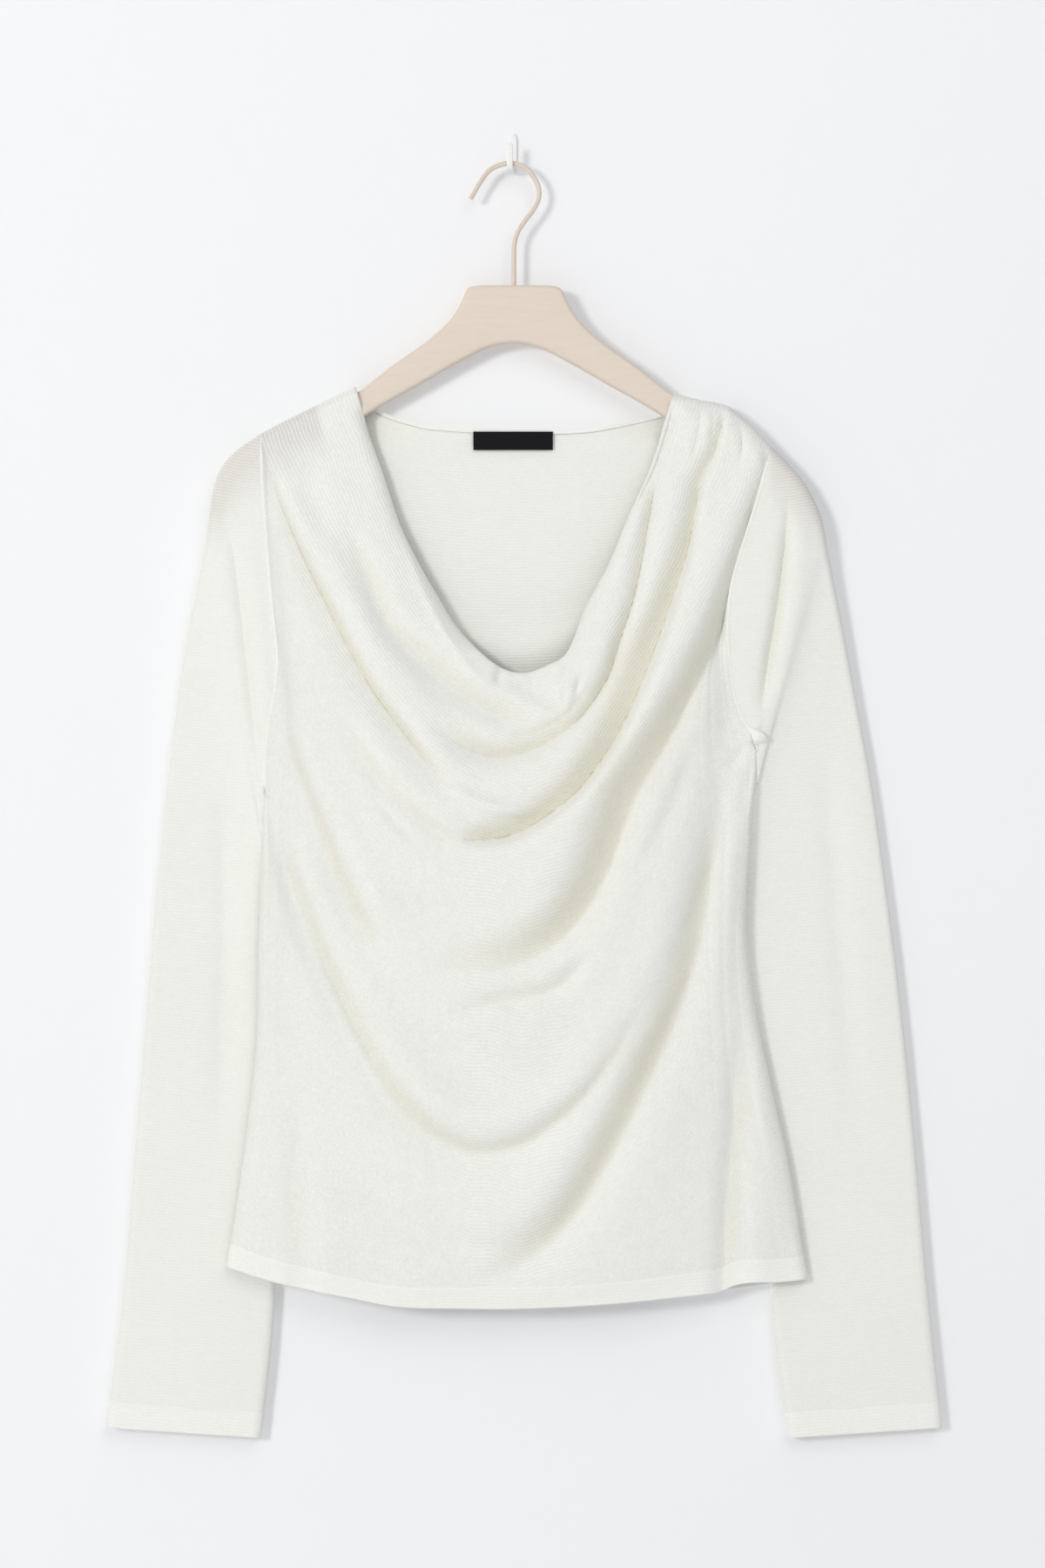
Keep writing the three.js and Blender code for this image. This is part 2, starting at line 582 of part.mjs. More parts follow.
const hemRows = [BAND_START + seamShare(HEM_BAND), 1];
const frontGrid = gridOf(frontCloth, acrossFront, frontRows, -1, bodySeam(-1));
const hemGrid = gridOf(frontCloth, acrossFront, hemRows, -1, bodySeam(-1));
const backRows = [
  0, BINDING_SHARE, ...downShares([[0, SHOULDER, 7]]).slice(1, -1), ...backArmhole, ...sideShares(5),
];
const acrossBack = acrossShares(8, BACK_EDGE_STEPS);
const backGrid = gridOf(backCloth, acrossBack, backRows, 1, bodySeam(1));
const backHemGrid = gridOf(backCloth, acrossBack, hemRows, 1, bodySeam(1));

// Sleeve: a flattened tube. Around it, shares 0 to 0.5 are the front, 0.5 to 1 the back
function sleeveFace(rows, edge, folds) {
  const table = rows.map((row, i) => [i / (rows.length - 1), ...row]);
  const span = (v) => edge(mix(SHOULDER, UNDERARM, v));
  return (ring, v) => {
    const front = ring <= 0.5;
    const w = front ? ring * 2 : 2 - ring * 2;
    const [ox, oz, ix, iz, middle, half] = along(table, v);
    let x = mix(ox, ix, w);
    let z = mix(oz, iz, w);
    const first = rows[0];
    const [hx, hz] = span(w);
    const bow = (1 - v) ** 9;
    x += (hx - mix(first[0], first[2], w)) * bow;
    z += (hz - mix(first[1], first[3], w)) * bow;
    const toOuter = Math.hypot(x - ox, z - oz);
    const toInner = Math.hypot(x - ix, z - iz);
    const radius = half * mix(1, 1.5, ease(v * 4));
    let stand = half * Math.min(quarter(toOuter, radius), quarter(toInner, radius));
    if (v < 0.02) stand = mix(armholeStand(x, z, edge), stand, v / 0.02);
    const edgeways = ease(Math.min(toOuter, toInner) / 14) * ease(v / 0.06);
    const crease = foldDepth(folds, x, z) * edgeways;
    const play = front ? crease : crease * 0.4;
    stand = Math.max(stand - play, 0.12 * stand);
    return [x, middle + (front ? -stand : stand), z];
  };
}

function sleeveGrid(face, rings, vs) {
  const step = 0.004;
  return vs.map((v) => rings.map((ring) => {
    const place = (r, s) => new THREE.Vector3(...face((r + 1) % 1, clamp(s, 0, 1)));
    const p = place(ring, v);
    const sign = ring < 0.5 ? -1 : 1;
    const atEdge = ring === 0 || Math.abs(ring - 0.5) < 1e-6;
    const du = place(ring + step, v).sub(place(ring - step, v));
    const dv = place(ring, v + step).sub(place(ring, v - step));
    const n = du.cross(dv).normalize();
    const away = p.clone().sub(place(0.25, v).lerp(place(0.75, v), 0.5));
    if (atEdge ? n.dot(away) < 0 : n.y * sign < 0) n.negate();
    const onSeam = v === 0 && (ring === 0 || !atEdge);
    return { p, n: onSeam ? seamDirectionAt(p.x, p.z, sign) : n };
  }));
}

const acrossArm = (v) => (v - SHOULDER) / (UNDERARM - SHOULDER);
const ringShares = [
  ...frontArmhole.map((v) => acrossArm(v) / 2),
  ...backArmhole.slice(1, -1).map((v) => 1 - acrossArm(v) / 2).reverse(),
];
const SLEEVE_STRETCH = 0.7;  // share of the sleeve below which its rows give way to the cuff's
const sleeveRows = [
  0, 0.02, 0.045, 0.077, 0.115, 0.16, 0.22, 0.3, 0.38, 0.47, 0.57, 0.68, 0.8, 0.9, BAND_START,
];
const cuffRows = [BAND_START + seamShare(CUFF_BAND), 1];

const meshes = [];
function piece(name, geometry, look) {
  const material = new THREE.MeshStandardMaterial(COLOURS[look]);
  const mesh = new THREE.Mesh(geometry, material);
  mesh.name = name;
  meshes.push(mesh);
}

piece('front_panel', wallOf(frontGrid, 0, WALL), 'knit');
piece('back_panel', wallOf(backGrid, 0, WALL), 'knit');
piece('hem_front', wallOf(hemGrid, 0, WALL), 'hem');
piece('hem_back', wallOf(backHemGrid, 0, WALL), 'hem');

const sides = [
  ['wearer_right', SLEEVE_RIGHT, leftEdge, SLEEVE_RIGHT_FOLDS],
  ['wearer_left', SLEEVE_LEFT, rightEdge, SLEEVE_LEFT_FOLDS],
];
for (const [side, rows, edge, folds] of sides) {
  const face = withBand(sleeveFace(rows, edge, folds.map(drawn)), CUFF_BAND, SLEEVE_STRETCH);
  piece(`sleeve_${side}`, wallOf(sleeveGrid(face, ringShares, sleeveRows), 0, WALL, true), 'knit');
  piece(`cuff_${side}`, wallOf(sleeveGrid(face, ringShares, cuffRows), 0, WALL, true), 'hem');
}

// Facing inside the front's neck edge, made from the front's own points
const facingGrid = frontGrid.slice(0, FACING_ROWS).map((row) => row.slice(3, -3));
piece('neck_facing', wallOf(facingGrid, -SEAM, -SEAM - WALL), 'hem');

// Band and label on the inside of the back's neck edge
const bandGrid = backGrid.slice(0, 2).map((row) => row.slice(5, -5));
piece('back_neck_band', wallOf(bandGrid, -SEAM, -SEAM - WALL), 'hem');

function labelGrid() {
  const columns = 7;
  const grid = [];
  for (const drop of [0, LABEL.height]) {
    const row = [];
    for (let i = 0; i < columns; i += 1) {
      const x = mix(LABEL.left, LABEL.right, i / (columns - 1));
      const z = LABEL.top - drop;
      row.push({ p: new THREE.Vector3(x, labelDepth, z), n: new THREE.Vector3(0, -1, 0) });
    }
    grid.push(row);
  }
  return grid;
}
const behindLabel = [0.4, 0.45, 0.5, 0.55, 0.6].map((u) => backFace(u, 0.02)[1]);
const labelDepth = Math.min(...behindLabel) - SEAM * 2 - WALL;
piece('label', wallOf(labelGrid(), 0, LABEL.thick), 'label');

// Flat hanger with rounded edges, bored for the hook's stem
function hangerOutline() {
  const half = [...HANGER_TOP, ...HANGER_UNDER];
  const inset = HANGER_EDGE;
  const shape = new THREE.Shape();
  const left = half.map(([x, z]) => new THREE.Vector2(x, z));
  const right = half.slice(1, -1).reverse().map(([x, z]) => new THREE.Vector2(-x, z));
  const all = [...left, ...right];
  const inner = all.map((p, i) => {
    const a = all[(i + all.length - 1) % all.length];
    const b = all[(i + 1) % all.length];
    const t = b.clone().sub(a).normalize();
    return new THREE.Vector2(p.x - t.y * inset, p.y + t.x * inset);
  });
  shape.setFromPoints(inner);
  return shape;
}
const wasm = await ModuleManifold();
wasm.setup();
function solidOf(geometry) {
  const clean = mergeByPlace(geometry);
  return new wasm.Manifold(new wasm.Mesh({
    numProp: 3,
    vertProperties: new Float32Array(clean.getAttribute('position').array),
    triVerts: new Uint32Array(clean.index.array),
  }));
}
function geometryOf(solid) {
  const mesh = solid.getMesh();
  const geometry = new THREE.BufferGeometry();
  geometry.setAttribute('position', new THREE.BufferAttribute(new Float32Array(mesh.vertProperties), 3));
  geometry.setIndex(new THREE.BufferAttribute(new Uint32Array(mesh.triVerts), 1));
  geometry.computeVertexNormals();
  return geometry;
}
function mergeByPlace(geometry) {
  const copy = geometry.clone();
  copy.deleteAttribute('normal');
  copy.deleteAttribute('uv');
  return mergeVertices(copy, 1e-4);
}

const hangerPlate = new THREE.ExtrudeGeometry(hangerOutline(), {
  depth: HANGER_DEPTH - 2 * HANGER_EDGE,
  bevelEnabled: true,
  bevelThickness: HANGER_EDGE,
  bevelSize: HANGER_EDGE,
  bevelSegments: 3,
});
hangerPlate.rotateX(Math.PI / 2);
hangerPlate.translate(0, SEAM_Y + HANGER_DEPTH / 2 - HANGER_EDGE, 0);
const boreRadius = HOOK_WIRE / 2 + BORE_PLAY;
const bore = new THREE.CylinderGeometry(boreRadius, boreRadius, 2 * (STEM_DEPTH + 1), 20);
bore.rotateX(Math.PI / 2);
bore.translate(0, SEAM_Y, HANGER_TOP[0][1]);
piece('hanger_body', geometryOf(solidOf(hangerPlate).subtract(solidOf(bore))), 'hanger');

const hookPoints = HOOK_PATH.map(([x, z]) => new THREE.Vector3(x, SEAM_Y, z));
const hookCurve = new THREE.CatmullRomCurve3(hookPoints, false, 'centripetal');
const wireShape = new THREE.Shape();
wireShape.absarc(0, 0, HOOK_WIRE / 2, 0, 2 * Math.PI);
const wire = new THREE.ExtrudeGeometry(wireShape, {
  steps: 38,
  curveSegments: 4,
  bevelEnabled: false,
  extrudePath: hookCurve,
});
piece('hanger_hook', mergeByPlace(wire).toNonIndexed(), 'wire');

// Wall hook: a pointed strap that lies on the wall, turns out under the wire and stands up before it
const { thick, saddle } = STRAP;
const inFront = -SEAM_Y + HOOK_WIRE / 2 + 1.2;
const outside = inFront + thick;
const underside = saddle - thick + 0.4;
const turnUp = saddle + STRAP_CORNER;
const strap = new THREE.Shape();
strap.moveTo(0, STRAP.top);
strap.lineTo(0, saddle + 1);
strap.quadraticCurveTo(0, underside, STRAP_CORNER, underside);
strap.lineTo(inFront - 2, underside);
strap.quadraticCurveTo(outside, underside, outside, turnUp);
strap.lineTo(outside + thick * 0.3, STRAP.prongTop);
strap.lineTo(inFront + thick * 0.5, STRAP.prongTop + 0.6);
strap.lineTo(inFront, turnUp + 0.6);
strap.quadraticCurveTo(inFront, saddle + thick, inFront - 2.2, saddle + thick);
strap.lineTo(thick + 1.6, saddle + thick);
strap.quadraticCurveTo(thick, saddle + thick, thick, turnUp);
strap.lineTo(thick, STRAP.narrowsFrom);
strap.lineTo(thick * 0.6, STRAP.top);
const strapBody = new THREE.ExtrudeGeometry(strap, {
  depth: STRAP.width,
  bevelEnabled: false,
  curveSegments: 5,
});
strapBody.translate(0, 0, -STRAP.width / 2);
const strapPoints = strapBody.getAttribute('position');
for (let i = 0; i < strapPoints.count; i += 1) {
  const out = strapPoints.getX(i);
  const up = strapPoints.getY(i);
  const narrow = mix(1, STRAP.tip, Math.max(up - STRAP.narrowsFrom, 0) / (STRAP.top - STRAP.narrowsFrom));
  const skew = STRAP_SKEW * Math.max(out - thick, 0);
  strapPoints.setXYZ(i, strapPoints.getZ(i) * narrow - skew, -out, up);
}
piece('wall_hook', facingOut(mergeByPlace(strapBody)), 'hook');

const part = new THREE.Group();
part.name = 'knitted_top_on_hanger';
for (const mesh of meshes) part.add(mesh);
export default part;
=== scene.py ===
import math
from collections import namedtuple

import bmesh
import bpy
import numpy as np
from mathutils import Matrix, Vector


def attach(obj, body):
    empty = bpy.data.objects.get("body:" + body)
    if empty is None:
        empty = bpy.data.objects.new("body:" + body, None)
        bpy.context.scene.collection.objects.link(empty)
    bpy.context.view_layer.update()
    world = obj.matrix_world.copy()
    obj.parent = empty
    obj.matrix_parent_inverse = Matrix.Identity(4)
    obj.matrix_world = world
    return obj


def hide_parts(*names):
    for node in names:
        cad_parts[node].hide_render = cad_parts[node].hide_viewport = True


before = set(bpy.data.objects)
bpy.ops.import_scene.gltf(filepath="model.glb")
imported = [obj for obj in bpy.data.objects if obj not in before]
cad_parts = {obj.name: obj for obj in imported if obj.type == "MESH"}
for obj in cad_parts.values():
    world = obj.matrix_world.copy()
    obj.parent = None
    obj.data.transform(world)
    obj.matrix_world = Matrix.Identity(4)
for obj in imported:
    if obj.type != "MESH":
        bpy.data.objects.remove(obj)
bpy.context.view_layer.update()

MM = 0.001

# A knitted top with a cowl neck on a flat hanger, which hangs from a wall hook. All sizes below are
# in millimetres. The origin is on the back of the wall hook: X to the viewer's right, Z up, and the
# front faces -Y. A surface is a function of two shares, u across from left to right and v down.

# Cloth
WALL = 1.2                   # thickness of the knit
SEAM = 0.3                   # space left between two pieces at a seam
SEAM_Y = -14                 # depth at which front and back meet on the hanger
SIDE_SEAM_Y = -18            # the same at the side seams, in front of the sleeves
ROUND = 8.8                  # radius the cloth takes over the hanger
HEM_BAND = 15
CUFF_BAND = 16
FACING_SHARE = 0.06          # share of the front's length that its turned-in facing reaches down
BINDING_SHARE = 0.0108       # the same for the binding of the back's neck, 3.5 mm
LABEL = dict(left=-28, right=27, top=-195, height=12, thick=0.8, columns=40, rows=8)
NECK_ROLL = dict(width=9.5, back=7.6)    # strip along the neck that rolls back, and how far
NECK_BACK_STAND = 3.0        # how far the back lies behind the seam line under the neck
HEM_CURL = 3.0               # how far the front hem turns in at its foot
BAND_START = 0.96            # share down a panel or sleeve at which its lower band begins
BAND_PROUD = 0.12            # how far a band stands out from the cloth beside it
SEAM_TUCK = 0.0006           # share that a band reaches up under the cloth it is joined to
ARM_SLOPE = 0.12             # the courses of a sleeve run square to the arm, at this slope
# Linked seam round an armhole: half sizes, how deep it sinks in, and how its ends thin out
SEAM_CORD = dict(wide=1.3, high=0.5, sunk=0.35, sides=10, points=140, past_underarm=0.035,
                 start=0.3, grows=12, tapers=0.09, end=0.1)
# Knob of that seam at each underarm: share along it, length, swelling, how far it stands out and aside
KNOBS = {
    "wearer_right": dict(at=0.909, along=0.02, swell=1.8, stand=4.4, aside=1.3),
    "wearer_left": dict(at=0.888, along=0.036, swell=2.8, stand=3.6, aside=2.2),
}

# Hanger and its hook
HANGER_DEPTH = 12
HANGER_EDGE = 3              # rounding of its edges
HOOK_WIRE = 3.5

# Wall hook: a strap down the wall, a saddle for the wire and a short prong in front of it
STRAP = dict(width=4, thick=1.8, top=13, narrows_from=9, tip=0.45, saddle=-13.4, prong_top=3,
             corner=3.4, skew=0.17, clear_of_wire=1.2, soft_edge=0.35)

# Edges of the front, from the neck along shoulder, armhole and side: share, x, z
SHOULDER = 0.24
UNDERARM = 0.56
LEFT_EDGE = [
    (0, -110, -165), (0.06, -129, -174), (0.12, -147, -183), (0.18, -161, -190),
    (0.24, -174, -197), (0.28, -173, -230), (0.32, -170, -269), (0.36, -167, -307),
    (0.4, -163, -342), (0.44, -163, -361), (0.48, -166, -382), (0.52, -170, -408),
    (0.56, -172, -441), (0.62, -173, -489), (0.7, -175, -552), (0.78, -176, -612),
    (0.86, -182, -669), (0.93, -190, -727), (1, -197, -770),
]
RIGHT_EDGE = [
    (0, 111, -170), (0.06, 128, -174), (0.12, 147, -178), (0.18, 163, -191),
    (0.24, 177, -206), (0.28, 170, -235), (0.32, 161, -264), (0.36, 152, -293),
    (0.4, 148, -318), (0.44, 148, -345), (0.48, 151, -374), (0.52, 158, -394),
    (0.56, 168, -411), (0.62, 163, -462), (0.7, 159, -534), (0.78, 165, -591),
    (0.86, 177, -649), (0.93, 189, -704), (1, 201, -778),
]
NECK_EDGE = [
    (-110, -165), (-103, -191), (-92, -220), (-80, -258), (-66, -287), (-54, -308),
    (-42, -328), (-28, -344), (-11, -358), (6, -363), (24, -357), (36, -349), (50, -316),
    (65, -287), (79, -253), (96, -222), (106, -193), (111, -170),
]
HEM_EDGE = [
    (-197, -770), (-174, -778), (-149, -784), (-114, -790), (-80, -796), (-40, -797),
    (7, -797), (65, -794), (126, -788), (142, -786), (152, -780), (163, -777),
    (184, -778), (201, -778),
]
BACK_NECK = [
    (-110, -165), (-90, -181), (-71, -188), (-54, -191), (6, -193), (48, -193),
    (72, -190), (91, -186), (103, -182), (111, -170),
]
# How the cloth hangs between its edges: share down the front, then x, z at seven places across
SWAGS = [
    (0, -110, -165, -86, -243, -51, -315, 6, -363, 52, -312, 87, -234, 111, -170),
    (0.12, -142, -181, -114, -282, -72, -372, 5, -423, 69, -369, 111, -282, 144, -176),
    (0.24, -174, -196, -144, -312, -90, -414, 4, -479, 81, -411, 135, -306, 177, -206),
    (0.4, -163, -342, -141, -420, -84, -507, 3, -561, 75, -501, 123, -408, 148, -318),
    (0.56, -172, -441, -144, -534, -84, -609, 1, -639, 81, -594, 129, -504, 168, -411),
    (0.78, -176, -612, -144, -669, -81, -714, 0, -729, 78, -708, 132, -657, 165, -591),
    (1, -197, -770, -150, -782, -78, -794, 0, -797, 78, -794, 141, -787, 201, -778),
]
FRONT_SAG = [(0, 6), (0.12, 18), (0.24, 24), (0.4, 24), (0.56, 20), (0.78, 13), (1, 9)]
BACK_DIP = [(0, 26), (0.24, 70), (0.4, 60), (0.56, 44), (0.78, 30), (1, 20)]

# A fold: its path from left to right or downwards, the depth of its trough (below 0 for a ridge), its
# reach above and below the path, how soft its bottom is (1 a crease, 2 round), the height of the roll
# above it, how far the roll leans over the trough, the share of its length over which each end
# fades, and its width at start, middle and end
Fold = namedtuple("Fold", "path deep up down softness roll lean fades widths",
                  defaults=(2, 0, 0, (0.3, 0.3), (1, 1, 1)))

FRONT_FOLDS = [
    # soft fold under the rolled neck
    Fold([(-119, -243), (-102, -288), (-85, -331), (-63, -352), (-43, -370), (-24, -382), (-3, -391),
          (13, -394), (30, -387)],
         deep=5.5, up=9, down=9, roll=1.5, fades=(0.3, 0.2), widths=(0.6, 1, 1.1)),
    # first cowl fold
    Fold([(-60, -391), (-45, -405), (-27, -416), (-9, -420), (8, -416), (22, -409), (35, -400),
          (45, -391), (55, -378), (65, -361), (71, -341), (81, -311), (89, -276), (96, -240), (100, -219),
          (103, -203)],
         deep=8.5, up=6.5, down=4.5, softness=1.25, roll=2.4, lean=1.5, fades=(0.16, 0.16),
         widths=(1.7, 1.1, 0.8)),
    # second cowl fold, wearer right
    Fold([(-175, -198), (-169, -217), (-161, -243), (-152, -265), (-141, -289), (-125, -321),
          (-111, -349), (-93, -379), (-74, -404), (-60, -422), (-45, -438), (-30, -450)],
         deep=8.5, up=5, down=11, softness=1.25, roll=2.5, lean=1.5, fades=(0.2, 0.2),
         widths=(0.5, 1.1, 1)),
    # bright ridge at its foot
    Fold([(-54, -434), (-36, -445), (-17, -452), (6, -455), (24, -450)],
         deep=-3, up=4.5, down=4.5),
    # second cowl fold
    Fold([(-51, -472), (-37, -476), (-21, -477), (-6, -475), (9, -469), (25, -458), (43, -443),
          (59, -422), (72, -401), (83, -378), (94, -352), (104, -326), (111, -306), (119, -282),
          (124, -258), (128, -236), (137, -214), (143, -195), (146, -177)],
         deep=14, up=14.5, down=4, softness=1.45, roll=3.4, lean=1.6, fades=(0.1, 0),
         widths=(0.7, 1.1, 0.32)),
    # third cowl fold, wearer right
    Fold([(-123, -381), (-105, -415), (-83, -445), (-60, -465), (-37, -478)],
         deep=4, up=6, down=8, softness=1.8, roll=1.5, fades=(0.3, 0.1)),
    # crease below it
    Fold([(-103, -441), (-80, -465), (-56, -491)],
         deep=1.6, up=3.5, down=4, softness=1.8, roll=0.3, fades=(0.4, 0.4)),
    # third cowl fold
    Fold([(-87, -559), (-54, -563), (-23, -564), (7, -557), (30, -544), (47, -526), (61, -502),
          (71, -476), (81, -448), (94, -426), (107, -404), (119, -381), (130, -359), (139, -338),
          (148, -308), (155, -285), (162, -261), (169, -235), (178, -208)],
         deep=12, up=17, down=10, softness=1.75, roll=3.2, lean=1.0, fades=(0.32, 0),
         widths=(1.05, 1.1, 0.24)),
    # branch below the third
    Fold([(-45, -599), (-24, -590), (0, -584), (24, -580), (43, -565), (59, -543)],
         deep=3.8, up=8, down=6, softness=1.8, roll=2, lean=0.5),
    # dimple
    Fold([(-12, -588), (0, -590), (12, -586)],
         deep=1.8, up=3, down=3.5, roll=0.4, fades=(0.4, 0.4)),
    # fourth fold, wearer right
    Fold([(-158, -378), (-152, -411), (-143, -441), (-132, -469), (-117, -507), (-101, -539),
          (-79, -563)],
         deep=7, up=7, down=12, softness=1.6, roll=2.5, lean=1, fades=(0.25, 0.25),
         widths=(0.7, 1, 1.3)),
    # long swag from the wearer's right
    Fold([(-163, -453), (-156, -489), (-144, -525), (-126, -570), (-96, -630), (-66, -669), (-30, -689),
          (6, -684), (39, -660), (69, -621), (96, -573)],
         deep=6.5, up=8, down=12, softness=1.6, roll=2.5, lean=1, fades=(0.12, 0.2),
         widths=(0.8, 1.25, 0.8)),
    # ridge inside it
    Fold([(-149, -523), (-131, -569), (-114, -604), (-93, -640), (-76, -663), (-57, -680)],
         deep=-1.6, up=4.5, down=4.5),
    # last swag
    Fold([(-54, -781), (-24, -778), (9, -763), (39, -735), (66, -691), (90, -642), (111, -594),
          (126, -546), (135, -498), (142, -450), (146, -408)],
         deep=9.5, up=14, down=13, softness=1.85, roll=3.2, lean=0.8, fades=(0.25, 0.25),
         widths=(0.9, 1.1, 0.6)),
    # upright fold at the hem
    Fold([(157, -588), (152, -636), (149, -684), (145, -738), (143, -806)],
         deep=5.5, up=11, down=7, softness=1.7, roll=2.2, lean=0.4, fades=(0.4, 0)),
    # upright crease, wearer right
    Fold([(-147, -636), (-149, -694), (-148, -744), (-144, -806)],
         deep=2.8, up=9, down=8, roll=1.0, fades=(0.4, 0)),
    # soft swag over the belly
    Fold([(-114, -696), (-81, -735), (-42, -753), (0, -750), (33, -723)],
         deep=1.8, up=12, down=12, roll=0.8),
    # shallow swag of the chest
    Fold([(-105, -489), (-75, -515), (-36, -523), (0, -517), (30, -498)],
         deep=2.0, up=9, down=9, roll=0.8),
    # shoulder tuck
    Fold([(128, -174), (128, -187), (125, -201), (120, -219)],
         deep=2.2, up=2.6, down=2.2, softness=1.3, roll=0.8, fades=(0, 0.4), widths=(0.8, 1, 1)),
    # second shoulder tuck
    Fold([(152, -178), (155, -190), (157, -202), (155, -222)],
         deep=2.6, up=2.6, down=2.2, softness=1.3, roll=0.8, fades=(0, 0.4), widths=(0.8, 1, 1)),
    # third shoulder tuck
    Fold([(136, -175), (136, -188), (134, -205)],
         deep=1.6, up=2.6, down=2.4, softness=1.4, roll=0.4, fades=(0, 0.4), widths=(0.8, 1, 1)),
    # soft fold on the wearer's left chest
    Fold([(66, -516), (93, -483), (115, -435), (130, -387)], deep=2, up=7, down=7, roll=0.8),
    # turn of the wearer's left limb
    Fold([(91, -186), (79, -234), (66, -276), (52, -318), (39, -345)], deep=-2.6, up=9, down=9),
    # crest along the second fold
    Fold([(-144, -234), (-123, -282), (-99, -325), (-75, -363), (-48, -394), (-18, -406)],
         deep=-2.2, up=7, down=7),
    # upright shade at the side
    Fold([(166, -438), (163, -498), (163, -552)], deep=2.5, up=7, down=6, roll=0.6),
    # second crease of the first fold
    Fold([(-18, -401), (6, -403), (28, -394), (43, -378), (53, -359)],
         deep=1.8, up=3.5, down=3.5, softness=1.6, roll=0.5),
    # edge of the turned neck
    Fold([(-86, -238), (-79, -262), (-70, -287), (-59, -312), (-46, -337), (-30, -359), (-17, -371)],
         deep=-1.7, up=3, down=3, softness=1.4, fades=(0.35, 0.1), widths=(0.8, 1, 1.1)),
    # puckers at the gathered shoulder
    Fold([(112, -175), (109, -190), (104, -205)],
         deep=1.3, up=2.6, down=2.4, softness=1.4, roll=0.3, fades=(0, 0.4)),
    Fold([(161, -182), (166, -196), (167, -210)],
         deep=1.2, up=2.4, down=2.2, softness=1.4, roll=0.3, fades=(0, 0.4)),
    # puckers at the wearer's left underarm
    Fold([(160, -388), (150, -395), (139, -398)],
         deep=0.9, up=2.8, down=2.8, softness=1.7, roll=0.2, fades=(0.3, 0.5)),
    Fold([(162, -408), (154, -418), (145, -431)],
         deep=1.0, up=3, down=3, softness=1.7, roll=0.2, fades=(0.3, 0.5)),
    # slack below the wearer's right shoulder
    Fold([(-143, -210), (-137, -243), (-126, -276)], deep=1.4, up=8, down=8, roll=0.5),
]
BACK_FOLDS = [
    # slack between the shoulders
    Fold([(-126, -250), (-62, -322), (4, -346), (66, -318), (122, -256)],
         deep=2.4, up=9, down=12, roll=0.5, fades=(0.28, 0.28)),
    # drags from both underarms
    Fold([(-150, -402), (-104, -448), (-40, -486), (22, -496)],
         deep=3.6, up=8, down=11, softness=1.8, roll=0.6, fades=(0.15, 0.4), widths=(0.8, 1, 1.2)),
    Fold([(148, -388), (112, -440), (66, -470), (10, -478)],
         deep=3.0, up=7, down=10, softness=1.8, roll=0.5, fades=(0.15, 0.4), widths=(0.8, 1, 1.2)),
    # slack at the waist
    Fold([(-120, -560), (-66, -598), (0, -606), (58, -590), (118, -548)],
         deep=3.2, up=10, down=13, roll=0.6, fades=(0.25, 0.3), widths=(0.8, 1.1, 0.8)),
    # uprights down to the hem
    Fold([(-88, -590), (-102, -680), (-112, -810)],
         deep=4.5, up=11, down=9, softness=1.8, roll=0.8, fades=(0.35, 0), widths=(0.7, 1, 1)),
    Fold([(20, -640), (14, -720), (8, -830)],
         deep=2.6, up=9, down=12, roll=0.4, fades=(0.4, 0), widths=(0.8, 1, 1)),
    Fold([(92, -560), (106, -660), (112, -810)],
         deep=4.0, up=10, down=13, softness=1.8, roll=0.6, fades=(0.35, 0), widths=(0.7, 1, 1)),
]

# Sleeves, a row for each section down the arm: x, z of the outer edge, x, z of the inner edge,
# depth of the middle and half the thickness of what it encloses
SLEEVE_RIGHT = [
    (-174, -197, -172, -441, -14, 8.8), (-191, -209, -172.4, -445, -14, 8.8),
    (-202, -222, -171.8, -452, -14, 8.6), (-207, -238, -171.2, -461, -13.8, 8.0),
    (-210, -258, -173, -470, -13.2, 7.2), (-216, -291, -170, -488, -11.6, 5.4),
    (-225, -336, -165, -512, -9.8, 4.2), (-233, -390, -160, -548, -8.4, 3.4),
    (-240, -450, -157, -597, -8, 3.2), (-246, -510, -156, -642, -8, 3.2),
    (-253, -594, -161, -702, -8.2, 3.3), (-261, -690, -165, -768, -8.4, 3.4),
    (-269, -786, -169, -828, -8.6, 3.6), (-281, -882, -176, -889, -8.8, 3.8),
]
SLEEVE_LEFT = [
    (177, -206, 168, -411, -14, 8.8), (188, -217, 168.2, -415, -14, 8.8),
    (199, -230, 166.6, -421, -14, 8.6), (208, -246, 164.5, -430, -13.8, 8.0),
    (213, -261, 166, -441, -13.2, 7.2), (218, -288, 160, -462, -11.6, 5.4),
    (227, -333, 155, -490, -9.8, 4.2), (236, -381, 153, -528, -8.4, 3.4),
    (246, -435, 159, -570, -8, 3.2), (255, -498, 163, -624, -8, 3.2),
    (265, -576, 170, -690, -8.2, 3.3), (275, -672, 176, -756, -8.4, 3.4),
    (284, -774, 182, -825, -8.6, 3.6), (295, -882, 191, -889, -8.8, 3.8),
]
SLEEVE_RIGHT_FOLDS = [
    Fold([(-199, -250), (-193, -280), (-186, -338), (-180, -389), (-176, -420), (-173, -445)],
         deep=3.4, up=5, down=4, softness=1.5, roll=0.8, fades=(0.28, 0.28)),
    Fold([(-203, -420), (-200, -520), (-201, -600), (-205, -700)],
         deep=2.2, up=8, down=7, softness=1.8, roll=0.8, fades=(0.28, 0.28)),
]
SLEEVE_LEFT_FOLDS = [
    Fold([(189, -236), (188, -258), (185, -288), (181, -318), (176, -348), (172, -375), (168, -396)],
         deep=7, up=4.5, down=3.5, softness=1.5, roll=1.2, fades=(0.28, 0.28), widths=(0.8, 1, 1)),
    Fold([(212, -380), (220, -480), (230, -600), (238, -700)],
         deep=1.8, up=9, down=8, roll=0.6, fades=(0.28, 0.28)),
]

